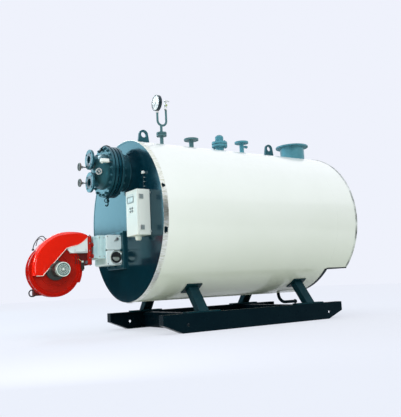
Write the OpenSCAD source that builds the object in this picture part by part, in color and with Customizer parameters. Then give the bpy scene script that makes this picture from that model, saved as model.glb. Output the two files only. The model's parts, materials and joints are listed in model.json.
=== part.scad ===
// Packaged hot-water boiler: a lagged horizontal drum on a steel skid, with a
// heat exchanger, a control box and a forced-draught burner on its front plate.
// Origin: on the ground, under the middle of the whole unit. +X runs to the rear.

/* [Shell] */
// Outer diameter of the sheet cladding
shell_d = 1500; // [1300:10:1700]
// Length of the drum, from the front plate to its rear end
drum_len = 2016; // [1800:4:2400]
// Length of the smoke box behind the drum
smokebox_len = 284; // [240:4:360]
// Height of the cladding's lowest line above the beams
belly_up = 110; // [90:5:160]
// Thickness of the cladding sheet
sheet_t = 4; // [2:0.5:6]
// Gap for the wool between the pressure drum and the cladding
lagging_t = 56; // [40:1:70]
// Wall of the pressure drum
drum_wall = 10; // [8:1:16]
// Thickness of the front plate
plate_t = 12; // [8:1:20]
// Thickness of the plate that closes the drum's rear end
drum_end_t = 14; // [10:1:20]
// Depth of the smoke box floor below the drum's axis
floor_drop = 510; // [450:5:560]
// Thickness of the smoke box's floor and rear plate
smokebox_t = 8; // [5:1:12]
// Width of the polished band around the front edge
trim_w = 45; // [30:1:70]
// Width of the band's lip over the front plate
trim_lip = 16; // [8:1:24]
// Thickness of the trim bands
trim_t = 2; // [1:0.5:4]
// Width of the rear trim band
rear_trim_w = 22; // [14:1:40]
// Diameter of the smoke box's rear access cover
cover_d = 760; // [600:10:820]
// Thickness of the rear access cover
cover_t = 16; // [10:1:24]

/* [Skid] */
// Height of the channel beams
beam_h = 165; // [140:1:200]
// Width of the channel beams
beam_w = 75; // [60:1:90]
// Distance between the outer faces of the two beams
skid_w = 1150; // [1050:10:1250]
// How far behind the front plate the beams start
beam_start = 50; // [20:5:100]
// How far the beams reach behind the drum's rear end
beam_over = 142; // [100:2:180]
// Web and flange thickness of the beams
beam_t = 9; // [6:0.5:12]
// Height of the blunt nose above the chamfer
nose_h = 78; // [50:1:110]
// Length of the chamfer under each nose
nose_run = 192; // [140:1:240]
// Diameter of the tow holes
tow_hole_d = 28; // [20:1:40]
// Distance of the front tow holes from the beams' front ends
tow_hole_in = 245; // [215:5:260]
// Distance of the rear tow holes from the beams' rear ends
tow_hole_rear_in = 185; // [170:5:260]
// Height of the tow holes above the ground
tow_hole_up = 70; // [60:2:90]

/* [Legs] */
// Distance of the front legs behind the front plate
front_leg_x = 462; // [400:2:520]
// Distance of the rear legs from the drum's rear end
rear_leg_in = 288; // [260:2:340]
// Length of a leg's section along the boiler
leg_l = 100; // [80:1:130]
// Width of a leg's section across the boiler
leg_w = 66; // [50:1:72]
// Thickness of a leg's channel section
leg_t = 9; // [6:1:14]
// Angle of a leg's top from the shell's lowest line
leg_angle = 30.6; // [28:0.2:34]
// Length of the rolled pad between a leg and the shell
pad_l = 160; // [140:2:200]
// Arc of the rolled pad
pad_arc = 11; // [10:0.5:14]
// Thickness of the rolled pads and of the leg foot plates
pad_t = 12; // [8:1:16]
// Length of a leg's foot plate
foot_l = 350; // [260:5:420]

/* [Heat exchanger] */
// Height of the exchanger's axis above the drum's axis
exchanger_up = 454; // [430:2:470]
// Outer diameter of the exchanger shell
exchanger_d = 330; // [290:2:350]
// Diameter of the exchanger's bolted flanges
exchanger_flange_d = 474; // [440:2:500]
// Thickness of each flange ring
ring_t = 22; // [16:1:26]
// Thickness of the gaskets between the rings
gasket_t = 10; // [4:1:14]
// Length of the exchanger shell in front of the plate
exchanger_neck_len = 90; // [70:2:120]
// Depth of the domed head in front of its flange
head_depth = 96; // [80:2:120]
// Distance of each water nozzle from the exchanger's axis
nozzle_off = 105; // [100:1:115]
// Outer diameter of the water nozzle pipes
water_pipe_d = 76; // [60:1:90]
// Diameter of the water nozzle flanges
water_flange_d = 185; // [165:1:195]
// Bolt circle of the water nozzle flanges
water_pcd = 145; // [120:1:150]
// Thickness of the water nozzle flanges
water_flange_t = 20; // [14:1:24]
// Distance of the nozzle faces from the front plate
nozzle_reach = 342; // [330:2:380]
// Diameter of the bolt holes in the pipe flanges
bolt_hole_d = 18; // [14:1:20]
// Wall of the water and air pipes
pipe_wall = 4; // [3:0.5:6]

/* [Burner] */
// Sideways distance of the burner's axis from the boiler's middle
burner_y = 175; // [150:5:190]
// Depth of the burner's axis below the drum's axis
burner_drop = 265; // [240:5:290]
// Side of the square mounting frame on the front plate
frame_side = 350; // [320:5:380]
// Thickness of the mounting frame
frame_t = 25; // [15:1:35]
// Side of the polished burner block
block_side = 280; // [250:5:300]
// Length of the polished burner block
block_len = 151; // [120:1:180]
// Corner radius of the polished block
block_round = 18; // [8:1:30]
// Width of the neck casing
neck_w = 250; // [220:2:270]
// Height of the neck casing above the burner's axis
neck_up = 137; // [120:1:150]
// Depth of the neck casing below the burner's axis
neck_down = 77; // [70:1:110]
// Length of the neck casing
neck_len = 76; // [60:1:100]
// Length of the slotted collar
collar_len = 40; // [30:1:60]
// Side of the burner's square flange plate
burner_flange_side = 262; // [250:2:290]
// Thickness of the burner's flange plate
burner_flange_t = 36; // [24:1:50]
// Length of the bosses behind the flange plate
boss_len = 23; // [16:1:30]
// Distance from the flanges to the fan's axis
fan_reach = 292; // [280:2:300]
// Depth of the fan's axis below the burner's axis
fan_drop = 170; // [150:2:180]
// Sideways distance of the fan casing's middle from the burner's axis
fan_side = 57; // [40:1:70]
// Radius of the fan scroll where it starts
scroll_start_r = 228; // [220:1:236]
// Radius of the fan scroll where it opens
scroll_end_r = 248; // [240:1:256]
// Width of the fan scroll
scroll_w = 95; // [80:1:110]
// Width of the raised rim around the scroll's near face
rim_w = 34; // [20:1:45]
// Height of the hood above the burner's axis
hood_up = 169; // [150:1:185]
// Height of the hood
hood_h = 384; // [360:2:400]
// Length of the hood
hood_len = 499; // [480:1:520]
// Width of the hood
hood_w = 146; // [134:2:160]
// Wall of the hood
hood_wall = 4; // [3:0.5:6]
// Diameter of the bell that carries the fan motor
bell_d = 176; // [150:2:184]
// Diameter of the fan motor
motor_d = 118; // [100:2:120]
// Length of the fan motor
motor_len = 138; // [100:2:150]
// Length of the motor's end cap
cap_len = 42; // [30:2:60]
// Diameter of the air intake drum
intake_d = 300; // [260:2:320]
// Length of the air intake drum
intake_len = 110; // [90:2:130]

/* [Control box] */
// Width of the control box
box_w = 216; // [180:2:260]
// Height of the control box
box_h = 395; // [340:5:450]
// Depth of the control box
box_depth = 126; // [100:2:160]
// Sideways distance of the box's middle from the boiler's middle
box_y = 407; // [380:1:420]
// Height of the box's middle above the drum's axis
box_up = 20; // [0:2:40]
// Thickness of the box's door
door_t = 18; // [12:1:26]

/* [Top fittings] */
// Distance of the front lifting lug behind the front plate
front_lug_x = 226; // [200:2:250]
// Distance of the rear lifting lug from the drum's rear end
rear_lug_in = 216; // [190:2:260]
// Width of a lifting lug
lug_w = 126; // [110:2:140]
// Thickness of a lifting lug
lug_t = 25; // [16:1:32]
// Height of a lug's hole above the cladding
lug_rise = 102; // [90:1:120]
// Diameter of a lug's hole
lug_hole_d = 56; // [48:1:62]
// Width of a lug across its eye
lug_eye_w = 96; // [84:1:108]
// Distance of the gauge stub behind the front plate
gauge_x = 431; // [400:1:460]
// Diameter of the pressure gauge
gauge_d = 160; // [130:2:180]
// Depth of the pressure gauge's case
gauge_case = 36; // [28:1:50]
// Distance of the vent nozzle behind the front plate
vent_x = 777; // [740:1:820]
// How far the safety valve stands behind the drum's middle
safety_off = 122; // [80:1:130]
// Distance of the feed nozzle from the drum's rear end
feed_in = 593; // [560:1:620]
// Outer diameter of the vent and feed pipes
small_pipe_d = 48; // [42:1:60]
// Diameter of the vent and feed flanges
small_flange_d = 150; // [140:1:165]
// Bolt circle of the vent and feed flanges
small_pcd = 110; // [100:1:118]
// Thickness of the vent and feed flanges
small_flange_t = 18; // [12:1:22]
// Outer diameter of the safety valve pipe
safety_pipe_d = 89; // [76:1:100]
// Diameter of the safety valve flanges
safety_flange_d = 165; // [155:1:190]
// Distance of the flue's axis behind the drum's rear end
flue_back = 136; // [120:2:142]
// Outer diameter of the flue stub
flue_d = 273; // [230:1:280]
// Wall of the flue stub
flue_wall = 6; // [4:0.5:8]
// Diameter of the flue flange
flue_flange_d = 370; // [340:2:400]
// Thickness of the flue flange
flue_flange_t = 14; // [10:1:20]
// Bolt circle of the flue flange
flue_pcd = 325; // [310:1:330]
// Distance of the drain from the drum's rear end
drain_in = 210; // [180:2:230]
// Outer diameter of the drain pipe
drain_d = 34; // [27:1:42]

/* [Hidden] */

// How far a cut runs past a face
over = 1;
// Depth by which a piece is seated in what carries it
seat = 0.3;
round_fn = 96;
small_fn = 48;
pipe_bolts = 4;
flue_bolts = 8;

shell_r = shell_d / 2;
axis_h = beam_h + belly_up + shell_r;
sheet_in_r = shell_r - sheet_t;
drum_r = sheet_in_r - lagging_t;
rear_x = drum_len + smokebox_len;
rear_leg_x = drum_len - rear_leg_in;
rear_lug_x = drum_len - rear_lug_in;
drain_x = drum_len - drain_in;
safety_x = drum_len / 2 + safety_off;
feed_x = drum_len - feed_in;
beam_len = drum_len + beam_over - beam_start;
beam_y = skid_w / 2 - beam_w / 2;
beam_top = beam_h - axis_h;

// The exchanger's stations, from the front plate forwards
ring_pitch = ring_t + gasket_t;
stack_start = exchanger_neck_len;
sheet_start = stack_start + ring_t;
channel_start = sheet_start + 2 * gasket_t + ring_t;
head_start = channel_start + 2 * ring_t + gasket_t;
gasket_d = exchanger_flange_d - 2 * ring_t;
exchanger_wall = 2 * pipe_wall;

// The burner's stations, from the front plate forwards
block_start = frame_t;
neck_start = block_start + block_len;
collar_start = neck_start + neck_len;
boss_start = collar_start + collar_len;
flange_start = boss_start + boss_len;
body_start = flange_start + burner_flange_t;
fan_x = body_start + fan_reach;
burner_z = -burner_drop;
fan_z = burner_z - fan_drop;
burner_reach = fan_x + scroll_end_r;

// The unit's middle lies halfway between the burner's front and the rear cover
rear_reach = rear_x + cover_t;
plate_x = (burner_reach - rear_reach) / 2;

module at_plate() {
    translate([plate_x, 0, axis_h]) children();
}

// A bar with its axis along X, from x0 to x1
module bar_x(x0, x1, d, fn = small_fn) {
    translate([min(x0, x1), 0, 0]) rotate([0, 90, 0])
        cylinder(h = abs(x1 - x0), d = d, $fn = fn);
}

// A tube with its axis along X, from x0 to x1
module tube_x(x0, x1, d, wall, fn = round_fn) {
    difference() {
        bar_x(x0, x1, d, fn);
        bar_x(min(x0, x1) - over, max(x0, x1) + over, d - 2 * wall, fn);
    }
}

// A ring of holes around the X axis, one between the vertical and each side
module holes_x(x0, x1, pcd, count, d) {
    for (i = [0 : count - 1])
        rotate([(i + 0.5) * 360 / count, 0, 0]) translate([0, 0, pcd / 2])
            bar_x(x0 - over, x1 + over, d);
}

// The space inside the drum, which trims the lower ends of what stands on it
module drum_space(r) {
    bar_x(-over, rear_x + over, 2 * r, round_fn);
}

// An upright pipe through the drum's wall at x, up to height z above the axis
module pipe_up(x, z, d, wall) {
    difference() {
        translate([x, 0, 0]) cylinder(h = z, d = d, $fn = small_fn);
        translate([x, 0, 0]) cylinder(h = z + over, d = d - 2 * wall, $fn = small_fn);
        drum_space(drum_r - drum_wall);
    }
}

// A round flange facing up, with a bore and a ring of holes
module flange_up(x, z, t, d, bore_d, pcd, count, hole_d) {
    translate([x, 0, z]) difference() {
        cylinder(h = t, d = d, $fn = small_fn);
        translate([0, 0, -over]) cylinder(h = t + 2 * over, d = bore_d, $fn = small_fn);
        for (i = [0 : count - 1])
            rotate([0, 0, (i + 0.5) * 360 / count]) translate([pcd / 2, 0, -over])
                cylinder(h = t + 2 * over, d = hole_d, $fn = small_fn);
    }
}

// The pipes that pass through the cladding and the drum's wall
module pipe_openings() {
    for (p = [[gauge_x, stub_d], [vent_x, small_pipe_d], [safety_x, safety_pipe_d],
              [feed_x, small_pipe_d]])
        translate([p[0], 0, 0]) cylinder(h = shell_r + over, d = p[1], $fn = small_fn);
    translate([drain_x, 0, -shell_r - over])
        cylinder(h = shell_r + over, d = drain_d, $fn = small_fn);
}

module lug_openings() {
    for (x = [front_lug_x, rear_lug_x])
        translate([x - lug_w / 2, -lug_t / 2, 0]) cube([lug_w, lug_t, shell_r + over]);
}

module flue_opening() {
    translate([drum_len + flue_back, 0, 0])
        cylinder(h = shell_d, d = flue_d, $fn = round_fn);
}

module front_plate() {
    color([0.10, 0.34, 0.42]) at_plate()
        bar_x(0, plate_t, 2 * sheet_in_r, round_fn);
}

module shell_cladding() {
    color([0.93, 0.93, 0.88]) at_plate() difference() {
        tube_x(0, drum_len, shell_d, sheet_t);
        pipe_openings();
        lug_openings();
    }
}

module pressure_drum() {
    color([0.35, 0.36, 0.38]) at_plate() difference() {
        tube_x(plate_t, drum_len - drum_end_t, 2 * drum_r, drum_wall);
        pipe_openings();
    }
}

module drum_end() {
    color([0.10, 0.34, 0.42]) at_plate()
        bar_x(drum_len - drum_end_t, drum_len, 2 * sheet_in_r, round_fn);
}

module front_trim() {
    color([0.80, 0.80, 0.78]) at_plate() {
        tube_x(-trim_t, trim_w, shell_d + 2 * trim_t, trim_t);
        tube_x(-trim_t, 0, shell_d, trim_lip);
    }
}

// All that lies below the smoke box floor
module below_floor() {
    translate([0, -shell_d, -floor_drop - shell_d])
        cube([2 * rear_x, 2 * shell_d, shell_d]);
}

module smokebox_cladding() {
    color([0.93, 0.93, 0.88]) at_plate() difference() {
        tube_x(drum_len, rear_x, shell_d, sheet_t);
        below_floor();
        flue_opening();
    }
}

floor_half_w = sqrt(shell_r * shell_r - floor_drop * floor_drop);

module smokebox_floor() {
    color([0.05, 0.08, 0.12]) at_plate()
        translate([drum_len, -floor_half_w, -floor_drop - smokebox_t])
            cube([smokebox_len, 2 * floor_half_w, smokebox_t]);
}

module smokebox_rear_plate() {
    color([0.93, 0.93, 0.88]) at_plate() difference() {
        bar_x(rear_x - smokebox_t, rear_x, 2 * sheet_in_r, round_fn);
        below_floor();
    }
}

module smokebox_cover() {
    color([0.10, 0.34, 0.42]) at_plate()
        bar_x(rear_x, rear_x + cover_t, cover_d, round_fn);
}

module rear_trim() {
    color([0.05, 0.08, 0.12]) at_plate() difference() {
        union() {
            tube_x(rear_x - rear_trim_w, rear_x + trim_t, shell_d + 2 * trim_t, trim_t);
            tube_x(rear_x, rear_x + trim_t, shell_d, trim_lip);
        }
        below_floor();
        flue_opening();
    }
}

module at_exchanger() {
    at_plate() translate([0, 0, exchanger_up]) children();
}

module exchanger_shell() {
    color([0.10, 0.34, 0.42]) at_exchanger() {
        tube_x(-stack_start, 0, exchanger_d, exchanger_wall);
        tube_x(-stack_start - ring_t, -stack_start, exchanger_flange_d,
               (exchanger_flange_d - exchanger_d) / 2 + exchanger_wall);
    }
}

module exchanger_tube_sheet() {
    color([0.08, 0.27, 0.34]) at_exchanger() {
        bar_x(-sheet_start - gasket_t, -sheet_start, gasket_d, round_fn);
        bar_x(-sheet_start - gasket_t - ring_t, -sheet_start - gasket_t,
              exchanger_flange_d, round_fn);
        bar_x(-channel_start, -channel_start + gasket_t, gasket_d, round_fn);
    }
}

// A drain cock under the channel
cock_d = 14;
cock_len = 70;

module exchanger_channel() {
    color([0.10, 0.34, 0.42]) at_exchanger() {
        for (x = [channel_start, channel_start + ring_pitch])
            bar_x(-x - ring_t, -x, exchanger_flange_d, round_fn);
        bar_x(-channel_start - ring_pitch, -channel_start - ring_t, gasket_d, round_fn);
        translate([-channel_start - ring_t / 2, 0, -exchanger_flange_d / 2 - cock_len])
            cylinder(h = cock_len + cock_d, d = cock_d, $fn = small_fn);
    }
}

// The dome is half an ellipse turned about the exchanger's axis
dome_step = 7.5;

module dome(r, depth) {
    rotate([0, -90, 0]) rotate_extrude($fn = round_fn)
        polygon(concat([[0, 0]], [for (a = [0 : dome_step : 90]) [r * cos(a), depth * sin(a)]]));
}

module water_openings(d) {
    for (s = [-1, 1])
        translate([0, 0, s * nozzle_off]) bar_x(-nozzle_reach - over, -head_start, d);
}

// The head carries a round plug on the control box's side
plug_d = 58;
plug_reach = 24;
plug_bore_d = 26;
plug_turn = 54;
plug_depth = 130;

module at_plug() {
    translate([-head_start, 0, -head_depth / 4]) rotate([0, 0, plug_turn - 180]) children();
}

module exchanger_head() {
    color([0.10, 0.34, 0.42]) at_exchanger() difference() {
        union() {
            translate([-head_start, 0, 0]) dome(exchanger_d / 2, head_depth);
            at_plug() bar_x(plug_bore_d, plug_depth + plug_reach, plug_d);
        }
        at_plug() bar_x(plug_depth, plug_depth + plug_reach + over, plug_bore_d);
        water_openings(water_pipe_d);
        for (z = dial_z) translate([0, dial_y, z]) bar_x(-dial_reach, -head_start + over, well_d);
    }
}

module water_nozzle() {
    tube_x(-nozzle_reach + water_flange_t, -head_start, water_pipe_d, pipe_wall, small_fn);
    difference() {
        bar_x(-nozzle_reach, -nozzle_reach + water_flange_t, water_flange_d);
        bar_x(-nozzle_reach - over, -nozzle_reach + water_flange_t + over,
              water_pipe_d - 2 * pipe_wall);
        holes_x(-nozzle_reach, -nozzle_reach + water_flange_t, water_pcd, pipe_bolts, bolt_hole_d);
    }
}

module water_outlet() {
    color([0.12, 0.40, 0.48]) at_exchanger() translate([0, 0, nozzle_off]) water_nozzle();
}

module water_inlet() {
    color([0.12, 0.40, 0.48]) at_exchanger() translate([0, 0, -nozzle_off]) water_nozzle();
}

// Two dial thermometers on wells in the head, beside the nozzles
dial_d = 76;
dial_t = 14;
well_d = 14;
dial_reach = nozzle_reach + 2 * water_flange_t;
dial_y = 110;
dial_up = 57;
dial_down = 93;
dial_z = [dial_up, -dial_down];

module thermometers() {
    color([0.08, 0.08, 0.09]) at_exchanger()
        for (z = dial_z) translate([0, dial_y, z]) {
            bar_x(-dial_reach, -head_start, well_d);
            bar_x(-dial_reach - dial_t, -dial_reach, dial_d);
        }
}

// A lifting eye on top of the last flange ring
eye_w = 92;
eye_h = 30;
eye_t = 16;
eye_hole_d = 22;

module head_eye() {
    color([0.08, 0.08, 0.09]) at_exchanger()
        translate([-head_start, eye_t / 2, exchanger_flange_d / 2 - seat]) rotate([90, 0, 0])
            linear_extrude(eye_t) difference() {
                union() {
                    translate([-eye_w / 2, 0]) square([eye_w, eye_h / 2]);
                    translate([0, eye_h / 2]) circle(d = eye_h, $fn = small_fn);
                }
                translate([0, eye_h / 2]) circle(d = eye_hole_d, $fn = small_fn);
            }
}

// The flow switch stands on the rim of the last ring, on the control box's side
switch_len = 76;
switch_w = 36;
switch_h = 34;
switch_up = 52;
switch_foot = 14;
switch_stem = 32;

module flow_switch() {
    color([0.90, 0.91, 0.90]) at_exchanger() {
        translate([-head_start - switch_stem - switch_len, -exchanger_d / 2 - switch_w, switch_up]) {
            cube([switch_len, switch_w, switch_h]);
            translate([switch_foot, 0, -switch_foot]) cube([switch_foot, switch_w, switch_foot]);
        }
        translate([0, -exchanger_d / 2 - switch_w / 2, switch_up + switch_h / 2])
            bar_x(-head_start - switch_stem, -head_start, switch_h / 2);
    }
}

module at_burner() {
    at_plate() translate([0, burner_y, burner_z]) children();
}

// A box in front of the plate, from x0 to x1, with its middle on the burner's axis
module block_x(x0, x1, side) {
    translate([-x1, -side / 2, -side / 2]) cube([x1 - x0, side, side]);
}

// A rectangle with round corners, its lower left corner at the origin
module round_rect(w, h, r) {
    translate([r, 0]) square([w - 2 * r, h]);
    translate([0, r]) square([w, h - 2 * r]);
    for (x = [r, w - r], y = [r, h - r]) translate([x, y]) circle(r = r, $fn = small_fn);
}

// A shape in the side plane, given depth along Y about y
module side_slab(y, depth) {
    translate([0, y + depth / 2, 0]) rotate([90, 0, 0]) linear_extrude(depth) children();
}

frame_border = 48;

module burner_frame() {
    color([0.12, 0.32, 0.55]) at_burner() difference() {
        block_x(0, frame_t, frame_side);
        block_x(-over, frame_t + over, frame_side - 2 * frame_border);
    }
}

seam_w = 4;
seam_in = 10;

// The block is two castings, one on the other
module burner_block() {
    color([0.80, 0.80, 0.78]) at_burner() {
        for (z = [-block_side / 2, seam_w / 2])
            translate([-neck_start, 0, z])
                side_slab(0, block_side)
                    round_rect(block_len, (block_side - seam_w) / 2, block_round);
        block_x(block_start, neck_start - seam_in, block_side - 2 * seam_in);
    }
}

module burner_neck() {
    color([0.75, 0.76, 0.76]) at_burner()
        translate([-collar_start, -neck_w / 2, -neck_down])
            cube([neck_len, neck_w, neck_up + neck_down]);
}

// The collar is slotted all along both sides
slot_w = 8;
slot_count = 2;
slot_in = 10;
collar_step = 8;

module burner_collar() {
    color([0.70, 0.71, 0.72]) at_burner() difference() {
        translate([-boss_start, collar_step - neck_w / 2, collar_step - neck_down])
            cube([collar_len, neck_w - 2 * collar_step, neck_up + neck_down - 2 * collar_step]);
        for (i = [1 : slot_count], side = [-1, 1])
            translate([-boss_start + i * collar_len / (slot_count + 1) - slot_w / 2,
                       side * (neck_w / 2 - collar_step) - slot_in, 3 * collar_step - neck_down])
                cube([slot_w, 2 * slot_in, neck_up + neck_down - 6 * collar_step]);
    }
}

// A square plate on four bosses
boss_d = 40;
boss_in = 26;

module burner_flange() {
    color([0.75, 0.12, 0.08]) at_burner() {
        translate([-body_start, -burner_flange_side / 2, -burner_flange_side / 2])
            cube([burner_flange_t, burner_flange_side, burner_flange_side]);
        for (y = [-1, 1], z = [-1, 1])
            translate([0, y * (burner_flange_side / 2 - boss_in), z * (neck_down - boss_in)])
                bar_x(-flange_start, -boss_start, boss_d);
    }
}

// The scroll's radius grows with the turn, from below the outlet round to its top
scroll_first = -30;
scroll_turn = 360;
scroll_step = 6;
function scroll_r(a) = scroll_start_r + (scroll_end_r - scroll_start_r) * a / scroll_turn;
function scroll_points(extra) = [for (a = [0 : scroll_step : scroll_turn - scroll_step])
    (scroll_r(a) + extra) * [cos(scroll_first - a), sin(scroll_first - a)]];

module at_fan() {
    at_plate() translate([-fan_x, burner_y - fan_side, fan_z]) children();
}

rim_depth = 8;
near_face = -scroll_w / 2;
cover_depth = (hood_w - scroll_w) / 2;

// The scroll has a raised rim on its near face, round a recess that holds the motor
module burner_scroll() {
    color([0.70, 0.10, 0.06]) at_fan() difference() {
        side_slab(0, scroll_w) polygon(scroll_points(0));
        side_slab(-scroll_w / 2, 2 * rim_depth) polygon(scroll_points(-rim_w));
    }
}

// Outlines in the side plane of the burner, in shares of the hood's length and
// height from its lower rear corner: the hood's back, its lower edge, the
// casting behind it, and the panel under it
back_shares = [[0, 0.92], [0.12, 0.98], [0.30, 1], [0.46, 0.985], [0.60, 0.93],
               [0.73, 0.83], [0.85, 0.69], [0.94, 0.51], [0.986, 0.32], [1, 0.13], [0.99, 0]];
edge_shares = [[0.825, 0], [0.395, 0.61], [0.31, 0.645], [0.19, 0.68], [0.115, 0.73],
               [0.04, 0.81], [0, 0.86]];
body_shares = [[0, 0.25], [0, 0.90], [0.12, 0.96], [0.30, 0.98], [0.46, 0.965],
               [0.60, 0.91], [0.73, 0.81], [0.66, 0.55], [0.46, 0.25]];
panel_shares = [[0, 0.50], [0, 0.85], [0.04, 0.80], [0.115, 0.72], [0.19, 0.67],
                [0.31, 0.635], [0.38, 0.60], [0.325, 0.50]];

module burner_shape(shares) {
    polygon([for (p = shares) [-p[0] * hood_len, p[1] * hood_h]]);
}

module at_hood() {
    at_plate() translate([-body_start, burner_y - fan_side, burner_z + hood_up - hood_h]) children();
}

module fan_mouth(extra) {
    translate([-fan_reach, 0, fan_z - burner_z - hood_up + hood_h]) side_slab(0, hood_w)
        polygon(scroll_points(extra));
}

module burner_body() {
    color([0.45, 0.10, 0.08]) at_hood() difference() {
        side_slab((near_face + hood_w / 2) / 2, hood_w / 2 - near_face) burner_shape(body_shares);
        fan_mouth(seat);
    }
}

// The hood covers the casting and the scroll from above and on the near side,
// where the motor's bell stands in it
module burner_hood() {
    color([0.85, 0.12, 0.05]) at_hood() difference() {
        union() {
            side_slab(near_face - cover_depth / 2, cover_depth)
                burner_shape(concat(back_shares, edge_shares));
            side_slab((near_face + hood_w / 2) / 2, hood_w / 2 - near_face) difference() {
                burner_shape(back_shares);
                burner_shape(body_shares);
                translate([-fan_reach, fan_z - burner_z - hood_up + hood_h])
                    polygon(scroll_points(seat));
            }
        }
        translate([-fan_reach, 0, fan_z - burner_z - hood_up + hood_h])
            side_slab(near_face, 2 * (cover_depth - hood_wall)) circle(d = bell_d + 2 * seat, $fn = small_fn);
    }
}

cap_lip = 6;

module burner_motor() {
    color([0.12, 0.12, 0.13]) at_fan() {
        side_slab(near_face + rim_depth / 2 - (cover_depth - hood_wall - seat) / 2,
                  rim_depth + cover_depth - hood_wall - seat) circle(d = bell_d, $fn = small_fn);
        side_slab(near_face - cover_depth - motor_len / 2, motor_len + 2 * hood_wall)
            circle(d = motor_d, $fn = small_fn);
        side_slab(near_face - cover_depth - motor_len - cap_len / 2, cap_len)
            circle(d = motor_d + cap_lip, $fn = small_fn);
    }
}

// The light panel under the hood's edge
module burner_side_panel() {
    color([0.72, 0.73, 0.72]) at_hood()
        side_slab(near_face - cover_depth / 2, cover_depth) burner_shape(panel_shares);
}

module burner_intake() {
    color([0.60, 0.09, 0.06]) at_fan()
        side_slab(scroll_w / 2 + intake_len / 2, intake_len) circle(d = intake_d, $fn = round_fn);
}

// The air pressure switch hangs on the casting's near side
air_switch_w = 27;
air_switch_h = 90;
air_switch_back = 62;
air_switch_hold = 27;

module burner_switch() {
    color([0.08, 0.08, 0.09]) at_hood()
        translate([-air_switch_back, near_face - air_switch_w,
                   body_shares[0][1] * hood_h + air_switch_hold - air_switch_h])
            cube([air_switch_w, air_switch_w, air_switch_h]);
}

box_round = 8;
door_gap = 3;

// The box and its door are drawn facing up and then turned to face forwards
module box_slab(x0, x1, w, h, r) {
    translate([-x0, -box_y - w / 2, box_up + h / 2]) rotate([0, -90, 0]) mirror([1, 0, 0])
        linear_extrude(x1 - x0) round_rect(h, w, r);
}

module control_box() {
    color([0.86, 0.87, 0.86]) at_plate() {
        box_slab(0, box_depth - door_t - door_gap, box_w, box_h, box_round);
        box_slab(box_depth - door_t - door_gap, box_depth - door_t,
                 box_w - 4 * door_gap, box_h - 4 * door_gap, box_round);
    }
}

module control_door() {
    color([0.90, 0.91, 0.90]) at_plate()
        box_slab(box_depth - door_t, box_depth, box_w, box_h, box_round);
}

sensor_w = 30;
sensor_h = 34;
sensor_t = 24;
sensor_y = 430;
sensor_up = 381;

conduit_d = 8;

// The sensor and the thin conduit from it down to the control box
module plate_sensor() {
    color([0.88, 0.88, 0.86]) at_plate() {
        translate([-sensor_t, -sensor_y - sensor_w / 2, sensor_up - sensor_h / 2])
            cube([sensor_t, sensor_w, sensor_h]);
        translate([-sensor_t / 2, -sensor_y, box_up + box_h / 2])
            cylinder(h = sensor_up - box_up - box_h / 2, d = conduit_d, $fn = small_fn);
    }
}

// The angle at which a lug's straight side meets the round of its eye
lug_side_angle = atan2(-lug_rise, lug_w / 2) + acos(lug_eye_w / norm([lug_w, 2 * lug_rise]));
lug_side_x = lug_eye_w / 2 * cos(lug_side_angle);
lug_side_z = shell_r + lug_rise + lug_eye_w / 2 * sin(lug_side_angle);

module lifting_lug(x) {
    difference() {
        translate([x, lug_t / 2, 0]) rotate([90, 0, 0]) linear_extrude(lug_t)
            difference() {
                union() {
                    translate([-lug_w / 2, 0]) square([lug_w, shell_r]);
                    polygon([[-lug_w / 2, shell_r], [lug_w / 2, shell_r], [lug_side_x, lug_side_z],
                             [-lug_side_x, lug_side_z]]);
                    translate([0, shell_r + lug_rise]) circle(d = lug_eye_w, $fn = small_fn);
                }
                translate([0, shell_r + lug_rise]) circle(d = lug_hole_d, $fn = small_fn);
            }
        drum_space(drum_r - seat);
    }
}

module lifting_lugs() {
    color([0.10, 0.34, 0.42]) at_plate() for (x = [front_lug_x, rear_lug_x]) lifting_lug(x);
}

// The gauge stands on a stub with a flange pair and a pipe bent to a fork
stub_d = 36;
post_d = 26;
stub_rise = 108;
stub_flange_d = 102;
stub_flange_t = 16;
stub_gasket_t = 4;
stub_gasket_d = 74;
fork_rise = 220;
fork_left = 39;
fork_right = 60;
fork_right_h = 163;
fork_d = 22;
gauge_rise = 445;
stub_top = shell_r + stub_rise;
fork_z = shell_r + fork_rise;
fork_bend = (fork_left + fork_right) / 2;
gauge_z = shell_r + gauge_rise;

module upright(x, z0, z1, d) {
    translate([x, 0, z0]) cylinder(h = z1 - z0, d = d, $fn = small_fn);
}

module gauge_siphon() {
    color([0.10, 0.34, 0.42]) at_plate() {
        pipe_up(gauge_x, stub_top, stub_d, pipe_wall);
        for (z = [stub_top, stub_top + stub_flange_t + stub_gasket_t])
            upright(gauge_x, z, z + stub_flange_t, stub_flange_d);
        upright(gauge_x, stub_top + stub_flange_t, stub_top + stub_flange_t + stub_gasket_t,
                stub_gasket_d);
        upright(gauge_x, stub_top + 2 * stub_flange_t + stub_gasket_t, fork_z, post_d);
        translate([gauge_x + (fork_right - fork_left) / 2, 0, fork_z + fork_bend]) rotate([90, 0, 0])
            rotate([0, 0, 180]) rotate_extrude(angle = 180, $fn = round_fn)
                translate([fork_bend, 0]) circle(d = fork_d, $fn = small_fn);
        upright(gauge_x - fork_left, fork_z + fork_bend, gauge_z - gauge_d / 2 + seat, fork_d);
        upright(gauge_x + fork_right, fork_z + fork_bend, fork_z + fork_right_h, fork_d);
    }
}

// The gauge faces forwards
gauge_rim = 7;

module pressure_gauge() {
    color([0.82, 0.82, 0.80]) at_plate() translate([gauge_x - fork_left, 0, gauge_z])
        difference() {
            bar_x(-gauge_case / 2, gauge_case / 2, gauge_d, round_fn);
            bar_x(-gauge_case, gauge_rim - gauge_case / 2, gauge_d - 2 * gauge_rim, round_fn);
        }
}

// A small cock with its lever, on the fork's right leg
cock_body_d = 32;
cock_h = 96;
lever_l = 56;
lever_t = 10;
lever_w = 16;

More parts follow.
